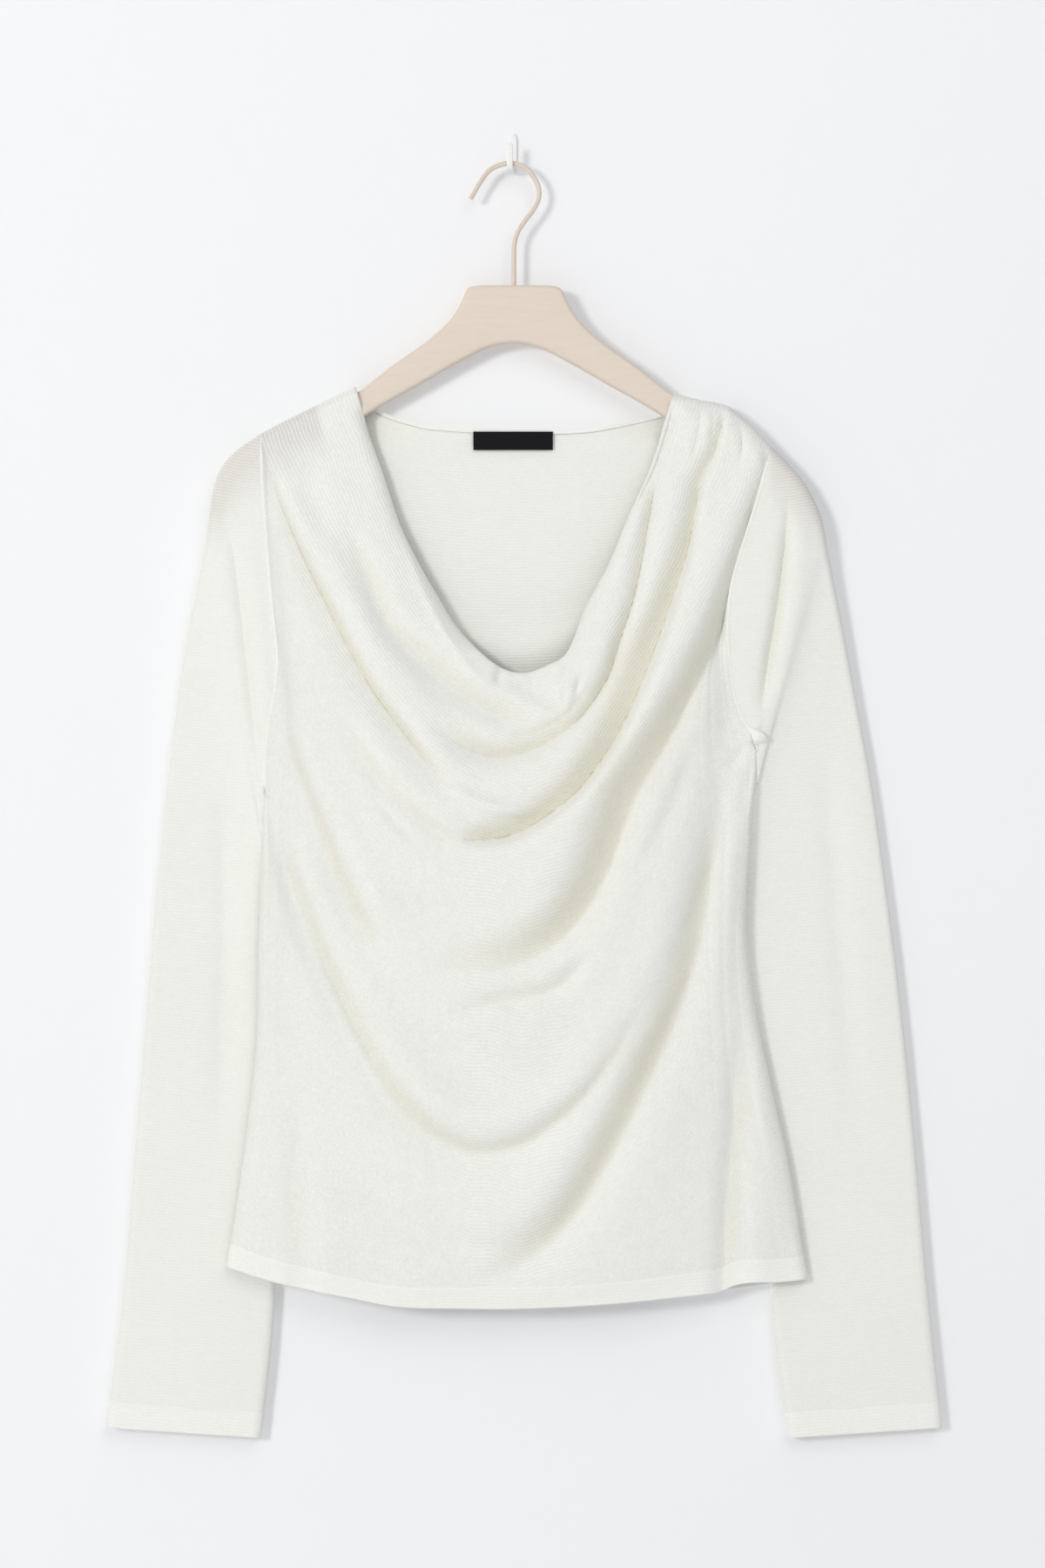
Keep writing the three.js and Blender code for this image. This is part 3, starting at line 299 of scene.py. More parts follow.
# Left half of the hanger's outline, its top and its underside: x, z
HANGER_TOP = [
    (0, -94), (-32, -94), (-35, -101), (-40, -112), (-49, -123), (-58, -131), (-66, -137),
    (-90, -153.5), (-110, -170.8), (-129, -175.8), (-147, -184.8), (-161, -194),
    (-174, -207.5), (-184, -219),
]
HANGER_UNDER = [
    (-189, -229), (-189.5, -236), (-185, -241.5), (-174, -238), (-150, -218), (-126, -200),
    (-106, -186), (-90, -176), (-66, -163), (-49, -153), (-29, -142), (-17, -136), (0, -133),
]
# Middle of the wire, from its free end over the wall hook and down into the hanger: x, z
HOOK_PATH = [
    (-30, -34), (-23, -22), (-17, -14.5), (-9, -10.5), (-1, -9.6), (7, -12), (13, -18),
    (17, -26), (17, -34), (13, -42), (7, -50), (2.5, -57), (0.3, -65), (0, -75), (0, -112),
]
# Upper edge of the top from sleeve to sleeve, over the hanger: x, z
SHOULDER_LINE = [
    (-400, -260), (-201, -232), (-196, -216), (-186, -205), (-174, -197), (-161, -190),
    (-147, -183), (-129, -174), (-110, -165), (-90, -150), (-66, -134), (-32, -92), (0, -90),
    (32, -92), (66, -134), (90, -150), (111, -170), (128, -174), (147, -178), (163, -191),
    (177, -206), (189, -217), (201, -232), (400, -260),
]


def mix(a, b, t):
    return a + (b - a) * t


def ease(t):
    """0 below 0, 1 above 1 and a smooth rise between."""
    c = np.clip(t, 0, 1)
    return c * c * (3 - 2 * c)


def unit(vectors):
    return vectors / np.maximum(np.linalg.norm(vectors, axis=-1, keepdims=True), 1e-9)


def hermite(a, b, m0, m1, t):
    """Cubic from a to b with the slopes m0 and m1."""
    t2, t3 = t * t, t * t * t
    return ((2 * t3 - 3 * t2 + 1) * a + (t3 - 2 * t2 + t) * m0
            + (3 * t2 - 2 * t3) * b + (t3 - t2) * m1)


def along(table, at):
    """Smooth curve through the rows of a table whose first column is the share of each row."""
    rows = np.asarray(table, float)
    shares, values = rows[:, 0], rows[:, 1:]
    at = np.asarray(at, float)
    i = np.clip(np.searchsorted(shares, at, side="left") - 1, 0, len(rows) - 2)
    before, after = np.maximum(i - 1, 0), np.minimum(i + 2, len(rows) - 1)
    gap = (shares[i + 1] - shares[i])[..., None]
    t = np.clip((at[..., None] - shares[i][..., None]) / gap, 0, 1)
    run0 = np.maximum(shares[i + 1] - shares[before], 1e-6)[..., None]
    run1 = np.maximum(shares[after] - shares[i], 1e-6)[..., None]
    m0 = (values[i + 1] - values[before]) / run0 * gap
    m1 = (values[after] - values[i]) / run1 * gap
    return hermite(values[i], values[i + 1], m0, m1, t)


def across_row(places, u):
    """The same curve through evenly spaced places, with its own places for each point."""
    last = places.shape[-2] - 1
    i = np.clip(np.ceil(u * last).astype(int) - 1, 0, last - 1)

    def place(k):
        return np.take_along_axis(places, np.clip(k, 0, last)[..., None, None], axis=-2)[..., 0, :]

    a, b = place(i), place(i + 1)
    t = np.clip(u * last - i, 0, 1)[..., None]
    m0 = (b - place(i - 1)) / np.where(i > 0, 2, 1)[..., None]
    m1 = (place(i + 2) - a) / np.where(i < last - 1, 2, 1)[..., None]
    return hermite(a, b, m0, m1, t)


def measured(points):
    """The points of a line, each with its share of the line's length before it."""
    steps = np.hypot(*np.diff(np.asarray(points, float), axis=0).T)
    run = np.concatenate([[0], np.cumsum(steps)])
    return np.column_stack([run / run[-1], points])


def with_corner(table, share):
    """The smooth curve through a table, with a corner at one share."""
    first = [row for row in table if row[0] <= share + 1e-9]
    rest = [row for row in table if row[0] >= share - 1e-9]
    return lambda v: np.where((np.asarray(v) <= share)[..., None], along(first, v), along(rest, v))


left_edge = with_corner(LEFT_EDGE, SHOULDER)
right_edge = with_corner(RIGHT_EDGE, SHOULDER)
neck_line = measured(NECK_EDGE)
hem_line = measured(HEM_EDGE)
back_neck_line = measured(BACK_NECK)


LINE_STEPS = 40                          # straight steps that stand for a curved line
ROLL_PLACE = dict(beyond=3, away=1.7)    # how much wider than its trough a roll is, and how far off
# Painted shade of a trough: where it lies above the path and how wide, and its width and strength under it
TROUGH_SHADE = dict(above=0.35, spread=0.9, under=0.3, under_strength=0.86)


def from_line(path, x, z):
    """Distance of each point from a line, its share along it, its side of it and the way across it."""
    line = along(measured(path), np.linspace(0, 1, LINE_STEPS + 1))
    best = np.full(x.shape, np.inf)
    share, side = np.zeros(x.shape), np.ones(x.shape)
    toward_x, toward_z = np.zeros(x.shape), np.zeros(x.shape)
    for k in range(LINE_STEPS):
        (ax, az), (bx, bz) = line[k], line[k + 1]
        dx, dz = bx - ax, bz - az
        t = np.clip(((x - ax) * dx + (z - az) * dz) / (dx * dx + dz * dz), 0, 1)
        ex, ez = x - ax - dx * t, z - az - dz * t
        d = np.hypot(ex, ez)
        near = d < best
        best = np.where(near, d, best)
        share = np.where(near, (k + t) / LINE_STEPS, share)
        side = np.where(near, np.where(dx * ez - dz * ex >= 0, 1, -1), side)
        length = math.hypot(dx, dz)
        toward_x = np.where(near, dz / length, toward_x)
        toward_z = np.where(near, -dx / length, toward_z)
    return best, share, side, toward_x, toward_z


def fold_all(folds, x, z):
    """Depth that the folds take out of the cloth, their painted shade, and how far their rolls lean.

    The painted shade lies over the upper side of each trough, which looks down and gets least light.
    """
    depth, painted_shade_tint = np.zeros(x.shape), np.zeros(x.shape)
    lean_x, lean_z = np.zeros(x.shape), np.zeros(x.shape)
    for path, deep, up, down, softness, roll, lean, (soft_start, soft_end), widths in folds:
        best, share, side, toward_x, toward_z = from_line(path, x, z)
        wide = np.interp(share, (0, 0.5, 1), widths)
        reach = np.where(side > 0, up, down) * wide
        ends = ease(share / soft_start) if soft_start else np.ones(x.shape)
        ends = ends * ease((1 - share) / soft_end) if soft_end else ends
        trough = np.exp(-(best / reach) ** softness)
        spacing = (up + ROLL_PLACE["beyond"]) * wide
        away = (np.where(side > 0, best, -best) - spacing * ROLL_PLACE["away"]) / spacing
        crest = np.exp(-away ** 2)
        scale = np.minimum(wide, 1)
        depth += (deep * trough - roll * crest) * ends * scale
        # Painted shade in the trough: wide above the path, where the cloth looks down, narrow under it
        above = np.exp(-((best - TROUGH_SHADE["above"] * up * wide) / (TROUGH_SHADE["spread"] * up * wide)) ** 2)
        under = TROUGH_SHADE["under_strength"] * np.exp(-(best / (TROUGH_SHADE["under"] * down * wide)) ** 2)
        painted_shade_tint += np.maximum(deep, 0) * np.where(side > 0, above, under) * ends * scale
        lean_x += lean * crest * ends * scale * toward_x
        lean_z += lean * crest * ends * scale * toward_z
    return depth, painted_shade_tint, lean_x, lean_z


def quarter(distance, radius):
    """Height of a quarter circle of radius 1, by the distance from its foot."""
    rest = 1 - np.clip(distance / radius, 0, 1)
    return np.sqrt(1 - rest * rest)


def top_at(x):
    """Height of the top's upper edge."""
    line = np.asarray(SHOULDER_LINE, float)
    return np.interp(x, line[:, 0], line[:, 1])


SIDE_TURN = 0.06             # share below the underarm over which the side seam comes forward


def seam_depth(v):
    """Depth at which front and back meet."""
    return mix(SEAM_Y, SIDE_SEAM_Y, ease((v - UNDERARM) / SIDE_TURN))


def armhole_stand(x, z, edge):
    """How far a sleeve or panel stands off the seam's plane near the armhole."""
    ux, uz = edge(np.array(UNDERARM))
    return ROUND * np.minimum(quarter(top_at(x) - z, ROUND), quarter(np.hypot(x - ux, z - uz), ROUND))


# How fast each edge's own line gives way to the swags, as a power of the share
SIDE_PULL, NECK_PULL, HEM_PULL = 8, 14, 10


def front_place(u, v):
    """Place of the front's cloth seen from in front: it follows the swags, and its edges exactly."""
    row = along(SWAGS, v).reshape(v.shape + (7, 2))
    place = across_row(row, u)
    to_left, to_right = ((1 - u) ** SIDE_PULL)[..., None], (u ** SIDE_PULL)[..., None]
    place = place + (left_edge(v) - row[..., 0, :]) * to_left
    place = place + (right_edge(v) - row[..., 6, :]) * to_right
    inside = 1 - to_left - to_right
    for line, at, weight in ((neck_line, 0, (1 - v) ** NECK_PULL), (hem_line, 1, v ** HEM_PULL)):
        base = along(SWAGS, np.array(float(at))).reshape(7, 2)
        spots = np.broadcast_to(base, v.shape + (7, 2))
        place = place + (along(line, u) - across_row(spots, u)) * weight[..., None] * inside
    return place[..., 0], place[..., 1]


SIDE_ROUND = dict(softer=1.6, within=0.05)       # the cloth turns more slowly at the side seams


def edge_stand(v, x, z):
    """How far the cloth stands off the seam's plane by its edges, and its distance from them."""
    (lx, lz), (rx, rz) = np.moveaxis(left_edge(v), -1, 0), np.moveaxis(right_edge(v), -1, 0)
    left, right = np.hypot(x - lx, z - lz), np.hypot(x - rx, z - rz)
    near = np.minimum(left, right)
    shoulder = ROUND * quarter(np.maximum(top_at(x) - z, 0), ROUND)
    armhole = np.where(left < right, armhole_stand(x, z, left_edge), armhole_stand(x, z, right_edge))
    turn = mix(1, SIDE_ROUND["softer"], ease((v - UNDERARM) / SIDE_ROUND["within"]))
    side = ROUND * quarter(near, ROUND * turn)
    return np.where(v <= SHOULDER, shoulder, np.where(v < UNDERARM, armhole, side)), near


def soft_most(a, b, blend):
    """The larger of two heights, rounded over where they meet."""
    gap = np.clip(0.5 + (a - b) / (2 * blend), 0, 1)
    return mix(b, a, gap) + blend * gap * (1 - gap)


SLACK = dict(deep=0.7, waves=7, seed=5, size=85)     # slow unevenness of the hanging front


def unevenness(x, z):
    """Slow unevenness of hanging cloth, between -1 and 1."""
    draw = np.random.default_rng(SLACK["seed"])
    total = np.zeros(x.shape)
    for _ in range(SLACK["waves"]):
        angle, phase = draw.uniform(0, math.pi), draw.uniform(0, 2 * math.pi)
        wave = SLACK["size"] * draw.uniform(0.7, 1.6)
        total += np.sin((x * math.cos(angle) + z * math.sin(angle)) * 2 * math.pi / wave + phase)
    return total / SLACK["waves"]


# Recess at the middle of the neck: it rises over so many millimetres from each edge
NECK_RECESS = dict(deep=3.2, left=-15, left_rise=6, right=31, right_fall=2.5, foot=(-376, -392),
                   foot_from=-12, foot_over=42, foot_rise=12)
# Small forms beside it: x, z, depth, half width, half height, slant
NECK_DIMPLES = [
    (-12, -367, 2.6, 3.4, 4.5, 0),       # notch at the left end of the recess
    (42, -368, 3.0, 2.4, 7, 0.25),       # slanting loop of cloth
    (35.5, -372, -1.6, 3.0, 12, 0),      # upright tuck
]


def neck_details(x, z):
    """Depth of the recess and the small forms at the middle of the neck."""
    here = NECK_RECESS
    left = ease((x - here["left"]) / here["left_rise"])
    right = 1 - ease((x - here["right"]) / here["right_fall"])
    foot = mix(*here["foot"], ease((x - here["foot_from"]) / here["foot_over"]))
    total = here["deep"] * left * right * ease((z - foot) / here["foot_rise"])
    for x0, z0, deep, wide, tall, slant in NECK_DIMPLES:
        total = total + deep * np.exp(-((x - x0 - (z - z0) * slant) / wide) ** 2 - ((z - z0) / tall) ** 2)
    return total


# Gathers into the wearer's left shoulder: the cloth bulges between start and end, down to a fade
GATHERS = dict(deep=3.2, start=108, rise=14, end=168, fall=10, below=6, fade=60)
# Folds fade near the front's edges, and no fold cuts deeper than the hanger that the cloth lies on
FRONT_EDGE = dict(fade=16, shoulder_fade=10, on_hanger=60, past_underarm=0.04, least_on_hanger=0.82,
                  least=0.5, blend=2.0)
SAG_SHAPE = 1.3              # how the front's sag rises from its sides
# The neck's roll lies flatter round the middle of the neck, between these shares of its edge
ROLL_ENDS = dict(below=30, aside=22, flat=0.25, start=0.40, rise=0.05, end=0.60, fall=0.08, last=0.2)
CURL_SHARE, CURL_ASIDE = 0.07, 12


def front_face(u, v):
    """Inner face of the front."""
    x, z = front_place(u, v)
    edge, near = edge_stand(v, x, z)
    out = edge + along(FRONT_SAG, v)[..., 0] * (4 * u * (1 - u)) ** SAG_SHAPE
    below = top_at(x) - z
    rim, roll, gather = FRONT_EDGE, ROLL_ENDS, GATHERS
    taper = ease(near / rim["fade"]) * np.where(v < SHOULDER, ease((below - 1) / rim["shoulder_fade"]), 1)
    depth, painted_shade_tint, lean_x, lean_z = fold_all(FRONT_FOLDS, x, z)
    gathers = gather["deep"] * ease((x - gather["start"]) / gather["rise"])
    gathers = gathers * (1 - ease((x - gather["end"]) / gather["fall"]))
    gathers = gathers * (1 - ease((below - gather["below"]) / gather["fade"]))
    depth = depth + neck_details(x, z) - gathers + SLACK["deep"] * unevenness(x, z)
    on_hanger = (v < UNDERARM + rim["past_underarm"]) & (below < rim["on_hanger"])
    floor = np.where(on_hanger, ROUND * rim["least_on_hanger"], rim["least"])
    folded = soft_most(out - depth * taper, np.minimum(out, floor), rim["blend"])
    stand = np.where(out > floor, folded, out)
    from_neck, share = from_line(NECK_EDGE, x, z)[:2]
    inside = ease(below / roll["below"]) * ease(near / roll["aside"])
    middle = ease((share - roll["start"]) / roll["rise"]) * (1 - ease((share - roll["end"]) / roll["fall"]))
    rolled = mix(1, roll["flat"], middle)
    turn = 1 - quarter(from_neck, NECK_ROLL["width"])
    stand = stand - NECK_ROLL["back"] * rolled * turn * inside * (v < roll["last"])
    stand = stand - HEM_CURL * ease((v - 1 + CURL_SHARE) / CURL_SHARE) ** 2 * ease(near / CURL_ASIDE)
    point = np.stack([x + lean_x * taper, seam_depth(v) - SEAM / 2 - stand, z + lean_z * taper], -1)
    return point, painted_shade_tint * taper


# The back: how much of the front's roundness it takes over the hanger, how it then falls clear of
# the sleeves towards the waist, and where it lies flat behind the neck
BACK_ROUND = 0.3
BACK_CLEAR = dict(aside=40, over=62, from_side=30, start=0.42, length=0.24)
BACK_FLAT = dict(aside=20, over=40, below=16, deep=30, end=0.3, fade=0.2)
BACK_EDGE = dict(fade=40, below=20, deep=30)


def back_face(u, v):
    """Inner face of the back."""
    (lx, lz), (rx, rz) = np.moveaxis(left_edge(v), -1, 0), np.moveaxis(right_edge(v), -1, 0)
    bow = 4 * u * (1 - u)
    x = mix(lx, rx, u)
    z = mix(lz, rz, u) - along(BACK_DIP, v)[..., 0] * bow
    weight = (1 - v) ** NECK_PULL
    neck = along(back_neck_line, u)
    (l0x, l0z), (r0x, r0z) = left_edge(np.array(0.0)), right_edge(np.array(0.0))
    x = x + (neck[..., 0] - mix(l0x, r0x, u)) * weight
    z = z + (neck[..., 1] - mix(l0z, r0z, u) + BACK_DIP[0][1] * bow) * weight
    edge, near = edge_stand(v, x, z)
    below = top_at(x) - z
    fall, flat, rim = BACK_CLEAR, BACK_FLAT, BACK_EDGE
    clear = -seam_depth(v) + SEAM_Y + ROUND
    aside = mix(edge * BACK_ROUND, clear, ease((near - fall["aside"]) / fall["over"]))
    off_side = ease(near / fall["from_side"])
    behind = np.where(v < UNDERARM, off_side, mix(off_side, 1, ease((v - UNDERARM) / SIDE_TURN)))
    stand = mix(edge, aside, ease((v - fall["start"]) / fall["length"]) * behind)
    flatness = ease((near - flat["aside"]) / flat["over"]) * ease((below - flat["below"]) / flat["deep"])
    stand = mix(stand, NECK_BACK_STAND, flatness * (1 - ease((v - flat["end"]) / flat["fade"])))
    depth, painted_shade_tint, _, _ = fold_all(BACK_FOLDS, x, z)
    taper = ease(near / rim["fade"]) * ease((below - rim["below"]) / rim["deep"])
    y = seam_depth(v) + SEAM / 2 + np.maximum(stand - depth * taper, 0)
    return np.stack([x, y, z], -1), painted_shade_tint * taper


# Shares across and down over which the inset fades, and its size at an armhole and at a side seam
INSET = dict(across=0.02, armhole=0.1, side=0.3, above=0.02)


def inset_at_armhole(face):
    """Keeps a body's edge off the sleeve by the seam's width."""
    def inset(u, v):
        point, painted_shade_tint = face(u, v)
        near_foot = ease((v - UNDERARM) / INSET["above"] + 1)
        room = np.where(v < UNDERARM, near_foot, 1 - ease((v - UNDERARM) / SIDE_TURN))
        least = np.where(v < UNDERARM, INSET["armhole"], 0)
        pull = np.where(u < 0.5, 1 - ease(u / INSET["across"]), -(1 - ease((1 - u) / INSET["across"])))
        pull = np.where(v < SHOULDER - 1e-6, 0, pull)
        point = point.copy()
        point[..., 0] += mix(least, INSET["side"], room) * pull
        return point, painted_shade_tint
    return inset


BAND_SAMPLE = dict(share=0.03, places=401)       # the last of the cloth, measured at so many places


def with_band(face, height, start_from):
    """A band of an even height at the lower end: the shares below are stretched to meet it."""
    sample, places = BAND_SAMPLE["share"], BAND_SAMPLE["places"]
    across = np.linspace(0, 1, places)
    drop = face(across, np.ones(places))[0] - face(across, np.full(places, 1 - sample))[0]
    starts = 1 - sample * height / np.linalg.norm(drop, axis=-1)

    def banded(u, v):
        start = np.interp(np.mod(u, 1 + 1e-9), across, starts)
        body = mix(start_from, start, (v - start_from) / (BAND_START - start_from))
        band = mix(start, 1, (v - BAND_START) / (1 - BAND_START))
        share = np.where(v <= start_from, v, np.where(v <= BAND_START, body, band))
        return face(u, share)
    return banded


# Sleeves: how fast the armhole's curve gives way to straight sections, how the edges turn softer down
# the arm, where folds fade, how strong they are behind, and what is left of the thickness in a fold
SLEEVE_HEAD = dict(pull=9, softer=1.5, over=0.25, seam=0.02)
SLEEVE_FOLD = dict(aside=14, start=0.06, behind=0.4, least=0.12)


def sleeve_face(rows, edge, folds):
    """Inner face of a sleeve: round it, shares 0 to 0.5 are the front, 0.5 to 1 the back."""
    table = np.column_stack([np.linspace(0, 1, len(rows)), rows])
    first = rows[0]

    def face(ring, v):
        ring = np.mod(ring, 1)
        front = ring <= 0.5
        w = np.where(front, ring * 2, 2 - ring * 2)
        ox, oz, ix, iz, middle, half = np.moveaxis(along(table, v), -1, 0)
        hole = edge(mix(SHOULDER, UNDERARM, w))
        bow = (1 - v) ** SLEEVE_HEAD["pull"]
        x = mix(ox, ix, w) + (hole[..., 0] - mix(first[0], first[2], w)) * bow
        z = mix(oz, iz, w) + (hole[..., 1] - mix(first[1], first[3], w)) * bow
        outer, inner = np.hypot(x - ox, z - oz), np.hypot(x - ix, z - iz)
        radius = half * mix(1, SLEEVE_HEAD["softer"], ease(v / SLEEVE_HEAD["over"]))
        stand = half * np.minimum(quarter(outer, radius), quarter(inner, radius))
        seam = SLEEVE_HEAD["seam"]
        stand = np.where(v < seam, mix(armhole_stand(x, z, edge), stand, v / seam), stand)
        depth, painted_shade_tint, _, _ = fold_all(folds, x, z)
        taper = ease(np.minimum(outer, inner) / SLEEVE_FOLD["aside"]) * ease(v / SLEEVE_FOLD["start"])
        play = np.where(front, 1, SLEEVE_FOLD["behind"])
        stand = np.maximum(stand - depth * taper * play, SLEEVE_FOLD["least"] * stand)
        return np.stack([x, middle + np.where(front, -stand, stand), z], -1), painted_shade_tint * taper * play
    return face


def seam_direction(x, z, sign):
    """Outward at a seam that runs over the hanger: up on its top, and forward or back beside it."""
    below = np.clip((top_at(x) - z) / ROUND, 0, 1)
    out = np.stack([0 * x, sign * np.sqrt(1 - (1 - below) ** 2), 1 - below], -1)
    return unit(out)


def cloth_grid(face, us, vs, outward):
    """Points of a surface with the direction in which its wall grows."""
    v, u = np.meshgrid(vs, us, indexing="ij")
    point, shade = face(u, v)
    grow = unit(np.cross(np.gradient(point, axis=1), np.gradient(point, axis=0)))
    grow = np.where((grow[..., 1] * outward < 0)[..., None], -grow, grow)
    for column, side in ((0, -1), (-1, 1)):
        at_edge = u[:, column] == (0 if column == 0 else 1)
        armhole = seam_direction(point[:, column, 0], point[:, column, 2], outward)
        shares = v[:, column]
        fixed = np.where((shares < UNDERARM - 1e-6)[:, None], armhole, (side, 0.0, 0.0))
        fixed = np.where((shares < SHOULDER - 1e-6)[:, None], (0.0, 0.0, 1.0), fixed)
        grow[:, column] = np.where(at_edge[:, None], fixed, grow[:, column])
    return point, grow, shade


def sleeve_grid(face, rings, vs):
    """The same for a sleeve, round which the wall grows outward on all sides."""
    v, ring = np.meshgrid(vs, rings, indexing="ij")
    point, shade = face(ring, v)
    sign = np.where(ring < 0.5, -1.0, 1.0)
    at_edge = (ring == 0) | (np.abs(ring - 0.5) < 1e-6)
    du = np.roll(point, -1, axis=1) - np.roll(point, 1, axis=1)
    grow = unit(np.cross(du, np.gradient(point, axis=0)))
    opposite = point[:, (np.arange(len(rings)) + len(rings) // 2) % len(rings)]
    wrong = np.where(at_edge, (grow * (point - opposite)).sum(-1), grow[..., 1] * sign) < 0
    grow = np.where(wrong[..., None], -grow, grow)
    on_seam = (v == 0) & ((ring == 0) | ~at_edge)
    seam = seam_direction(point[..., 0], point[..., 2], sign)
    return point, np.where(on_seam[..., None], seam, grow), shade


def placed(name, data):
    """An object of the scene with this data."""
    obj = bpy.data.objects.new(name, data)
    bpy.context.scene.collection.objects.link(obj)
    return obj


def smooth(mesh, crease):
    """Shades a mesh smooth but for edges sharper than the crease, in degrees."""
    mesh.shade_smooth()
    mesh.set_sharp_from_angle(angle=math.radians(crease))


def fresh_object(name, vertices, faces, crease=40):
    """An object from points in millimetres."""
    mesh = bpy.data.meshes.new(name)
    mesh.from_pydata([tuple(p) for p in np.asarray(vertices) * MM], [], [tuple(f) for f in faces])
    mesh.update()
    tidy = bmesh.new()
    tidy.from_mesh(mesh)
    bmesh.ops.recalc_face_normals(tidy, faces=tidy.faces)
    tidy.to_mesh(mesh)
    tidy.free()
    smooth(mesh, crease)
    return placed(name, mesh)


def bridge(a, b, flip):
    """Faces between two lines of points; the second may have every other point of the first."""
    faces = []
    if len(a) == len(b):
        for k in range(len(a) - 1):
            faces.append((a[k], a[k + 1], b[k + 1], b[k]))
    else:
        for k in range(len(b) - 1):
            faces += [(a[2 * k], a[2 * k + 1], b[k]), (a[2 * k + 1], b[k + 1], b[k]),
                      (a[2 * k + 1], a[2 * k + 2], b[k + 1])]
    return [face[::-1] for face in faces] if flip else faces


EDGE_STEPS = 5               # flats round a free edge
CLOTH_CREASE = 62            # cloth is smooth up to this angle


def cloth_wall(name, grid, near, far, closed=False, round_top=False, round_foot=False, coarse=1,
               level=False, sheer=True):
    """Closed wall between two distances from a grid's points; a free edge may be rounded.

    The far layer has every point. The near one, which lies inside, may have every other point.
    The courses of the knit follow the grid's rows, or lie level, as on a sleeve.
    """
    point, grow, shade = grid
    rows, columns = point.shape[:2]
    lengths = np.linalg.norm(np.diff(point, axis=0), axis=-1)
    down = np.vstack([np.zeros((1, columns)), np.cumsum(lengths, axis=0)])
    widths = np.linalg.norm(np.diff(point, axis=1), axis=-1)
    over = np.hstack([np.zeros((rows, 1)), np.cumsum(widths, axis=1)])
    over = over - over[:, columns // 2][:, None]
    if level:
        over, down = point[..., 0], ARM_SLOPE * np.abs(point[..., 0]) - point[..., 2]
    facts = np.stack([over, down, shade, sheerness(point) * sheer], -1)
    near = np.broadcast_to(np.asarray(near, float).reshape(-1, 1, 1), (rows, 1, 1))
    outer, inner = point + grow * far, (point + grow * near)[::coarse, ::coarse]
    inner_rows, inner_columns = inner.shape[:2]
    outer_at = np.arange(rows * columns).reshape(rows, columns)
    inner_at = rows * columns + np.arange(inner_rows * inner_columns).reshape(inner_rows, inner_columns)
    vertices = [outer.reshape(-1, 3), inner.reshape(-1, 3)]
    data = [facts.reshape(-1, 4), facts[::coarse, ::coarse].reshape(-1, 4)]
    if closed:
        outer_at = np.hstack([outer_at, outer_at[:, :1]])
        inner_at = np.hstack([inner_at, inner_at[:, :1]])
    faces = []
    for at, order in ((outer_at, (0, 1, 2, 3)), (inner_at, (3, 2, 1, 0))):
        corners = (at[:-1, :-1], at[1:, :-1], at[1:, 1:], at[:-1, 1:])
        faces += np.stack([corners[k] for k in order], -1).reshape(-1, 4).tolist()
    total = rows * columns + inner_rows * inner_columns
    ends = ((0, 1, round_top, False), (rows - 1, rows - 2, round_foot, True))
    for row, inward, rounded, flip in ends:
        chain = [outer_at[row]]
        start, end = outer[row], point[row] + grow[row] * near[row]
        away = unit(point[row] - point[inward]) * np.linalg.norm(start - end, axis=-1, keepdims=True) / 2
        steps = EDGE_STEPS if rounded else 1
        for k in range(1, steps):
            angle = math.pi * k / steps
            middle, half = (start + end) / 2, (start - end) / 2
            vertices.append(middle + half * math.cos(angle) + away * math.sin(angle))
            data.append(facts[row])
            line = total + np.arange(columns)
            chain.append(np.append(line, line[0]) if closed else line)
            total += columns
        chain.append(inner_at[0 if row == 0 else -1])
        for a, b in zip(chain, chain[1:]):
            faces += bridge(a, b, flip)
    if not closed:
        faces += bridge(outer_at[:, 0], inner_at[:, 0], True)
        faces += bridge(outer_at[:, -1], inner_at[:, -1], False)
    obj = fresh_object(name, np.vstack(vertices), faces, crease=CLOTH_CREASE)
    mesh, data = obj.data, np.vstack(data)
    corners = np.empty(len(mesh.loops), dtype=np.int32)
    mesh.loops.foreach_get("vertex_index", corners)
    layer = mesh.uv_layers.new(name="knit_mm")
    layer.data.foreach_set("uv", data[corners, :2].astype(np.float32).ravel())
    # For the material: how much painted shade each trough gets, and how much painted see-through the sheer
    # knit gets
    for column, title in ((2, "trough"), (3, "sheer")):
        layer = mesh.attributes.new(title, "FLOAT", "POINT")
        layer.data.foreach_set("value", data[:, column].astype(np.float32))
    return obj


# The knit is a single layer from the edge of its facing on, and past the gathers. Near the top the
# shaded hanger and gap behind it are painted into its colour as painted see-through, less further below
SHEER = dict(facing=26, facing_fade=5, gathers=172, gathers_fade=8, below=8, fade=42, body=260)


def sheerness(point):
    """How much painted see-through the thin knit gets: the shaded hanger or dark gap behind it."""
    x, z = point[..., 0], point[..., 2]
    below = top_at(x) - z
    facing = from_line(NECK_EDGE, x, z)[0]
    past_facing = ease((facing - SHEER["facing"]) / SHEER["facing_fade"])
    past_gathers = ease((x - SHEER["gathers"]) / SHEER["gathers_fade"])
    high = 1 - ease((below - SHEER["below"]) / SHEER["fade"])
    return np.where(x < 0, past_facing, past_gathers) * high * (np.abs(x) < SHEER["body"])


def edge_close(count, power):
    """Shares from 0 to 1, closer together at both ends."""
    t = np.linspace(-1, 1, count)
    shares = 0.5 + 0.5 * np.sign(t) * (1 - (1 - np.abs(t)) ** power)
    shares[0], shares[-1] = 0, 1
    return shares


def joined(*runs):
    """Runs of shares in one list, in which the end of a run is the start of the next."""
    shares = list(runs[0])
    for run in runs[1:]:
        shares.extend(list(run)[1:])
    return np.array(shares)


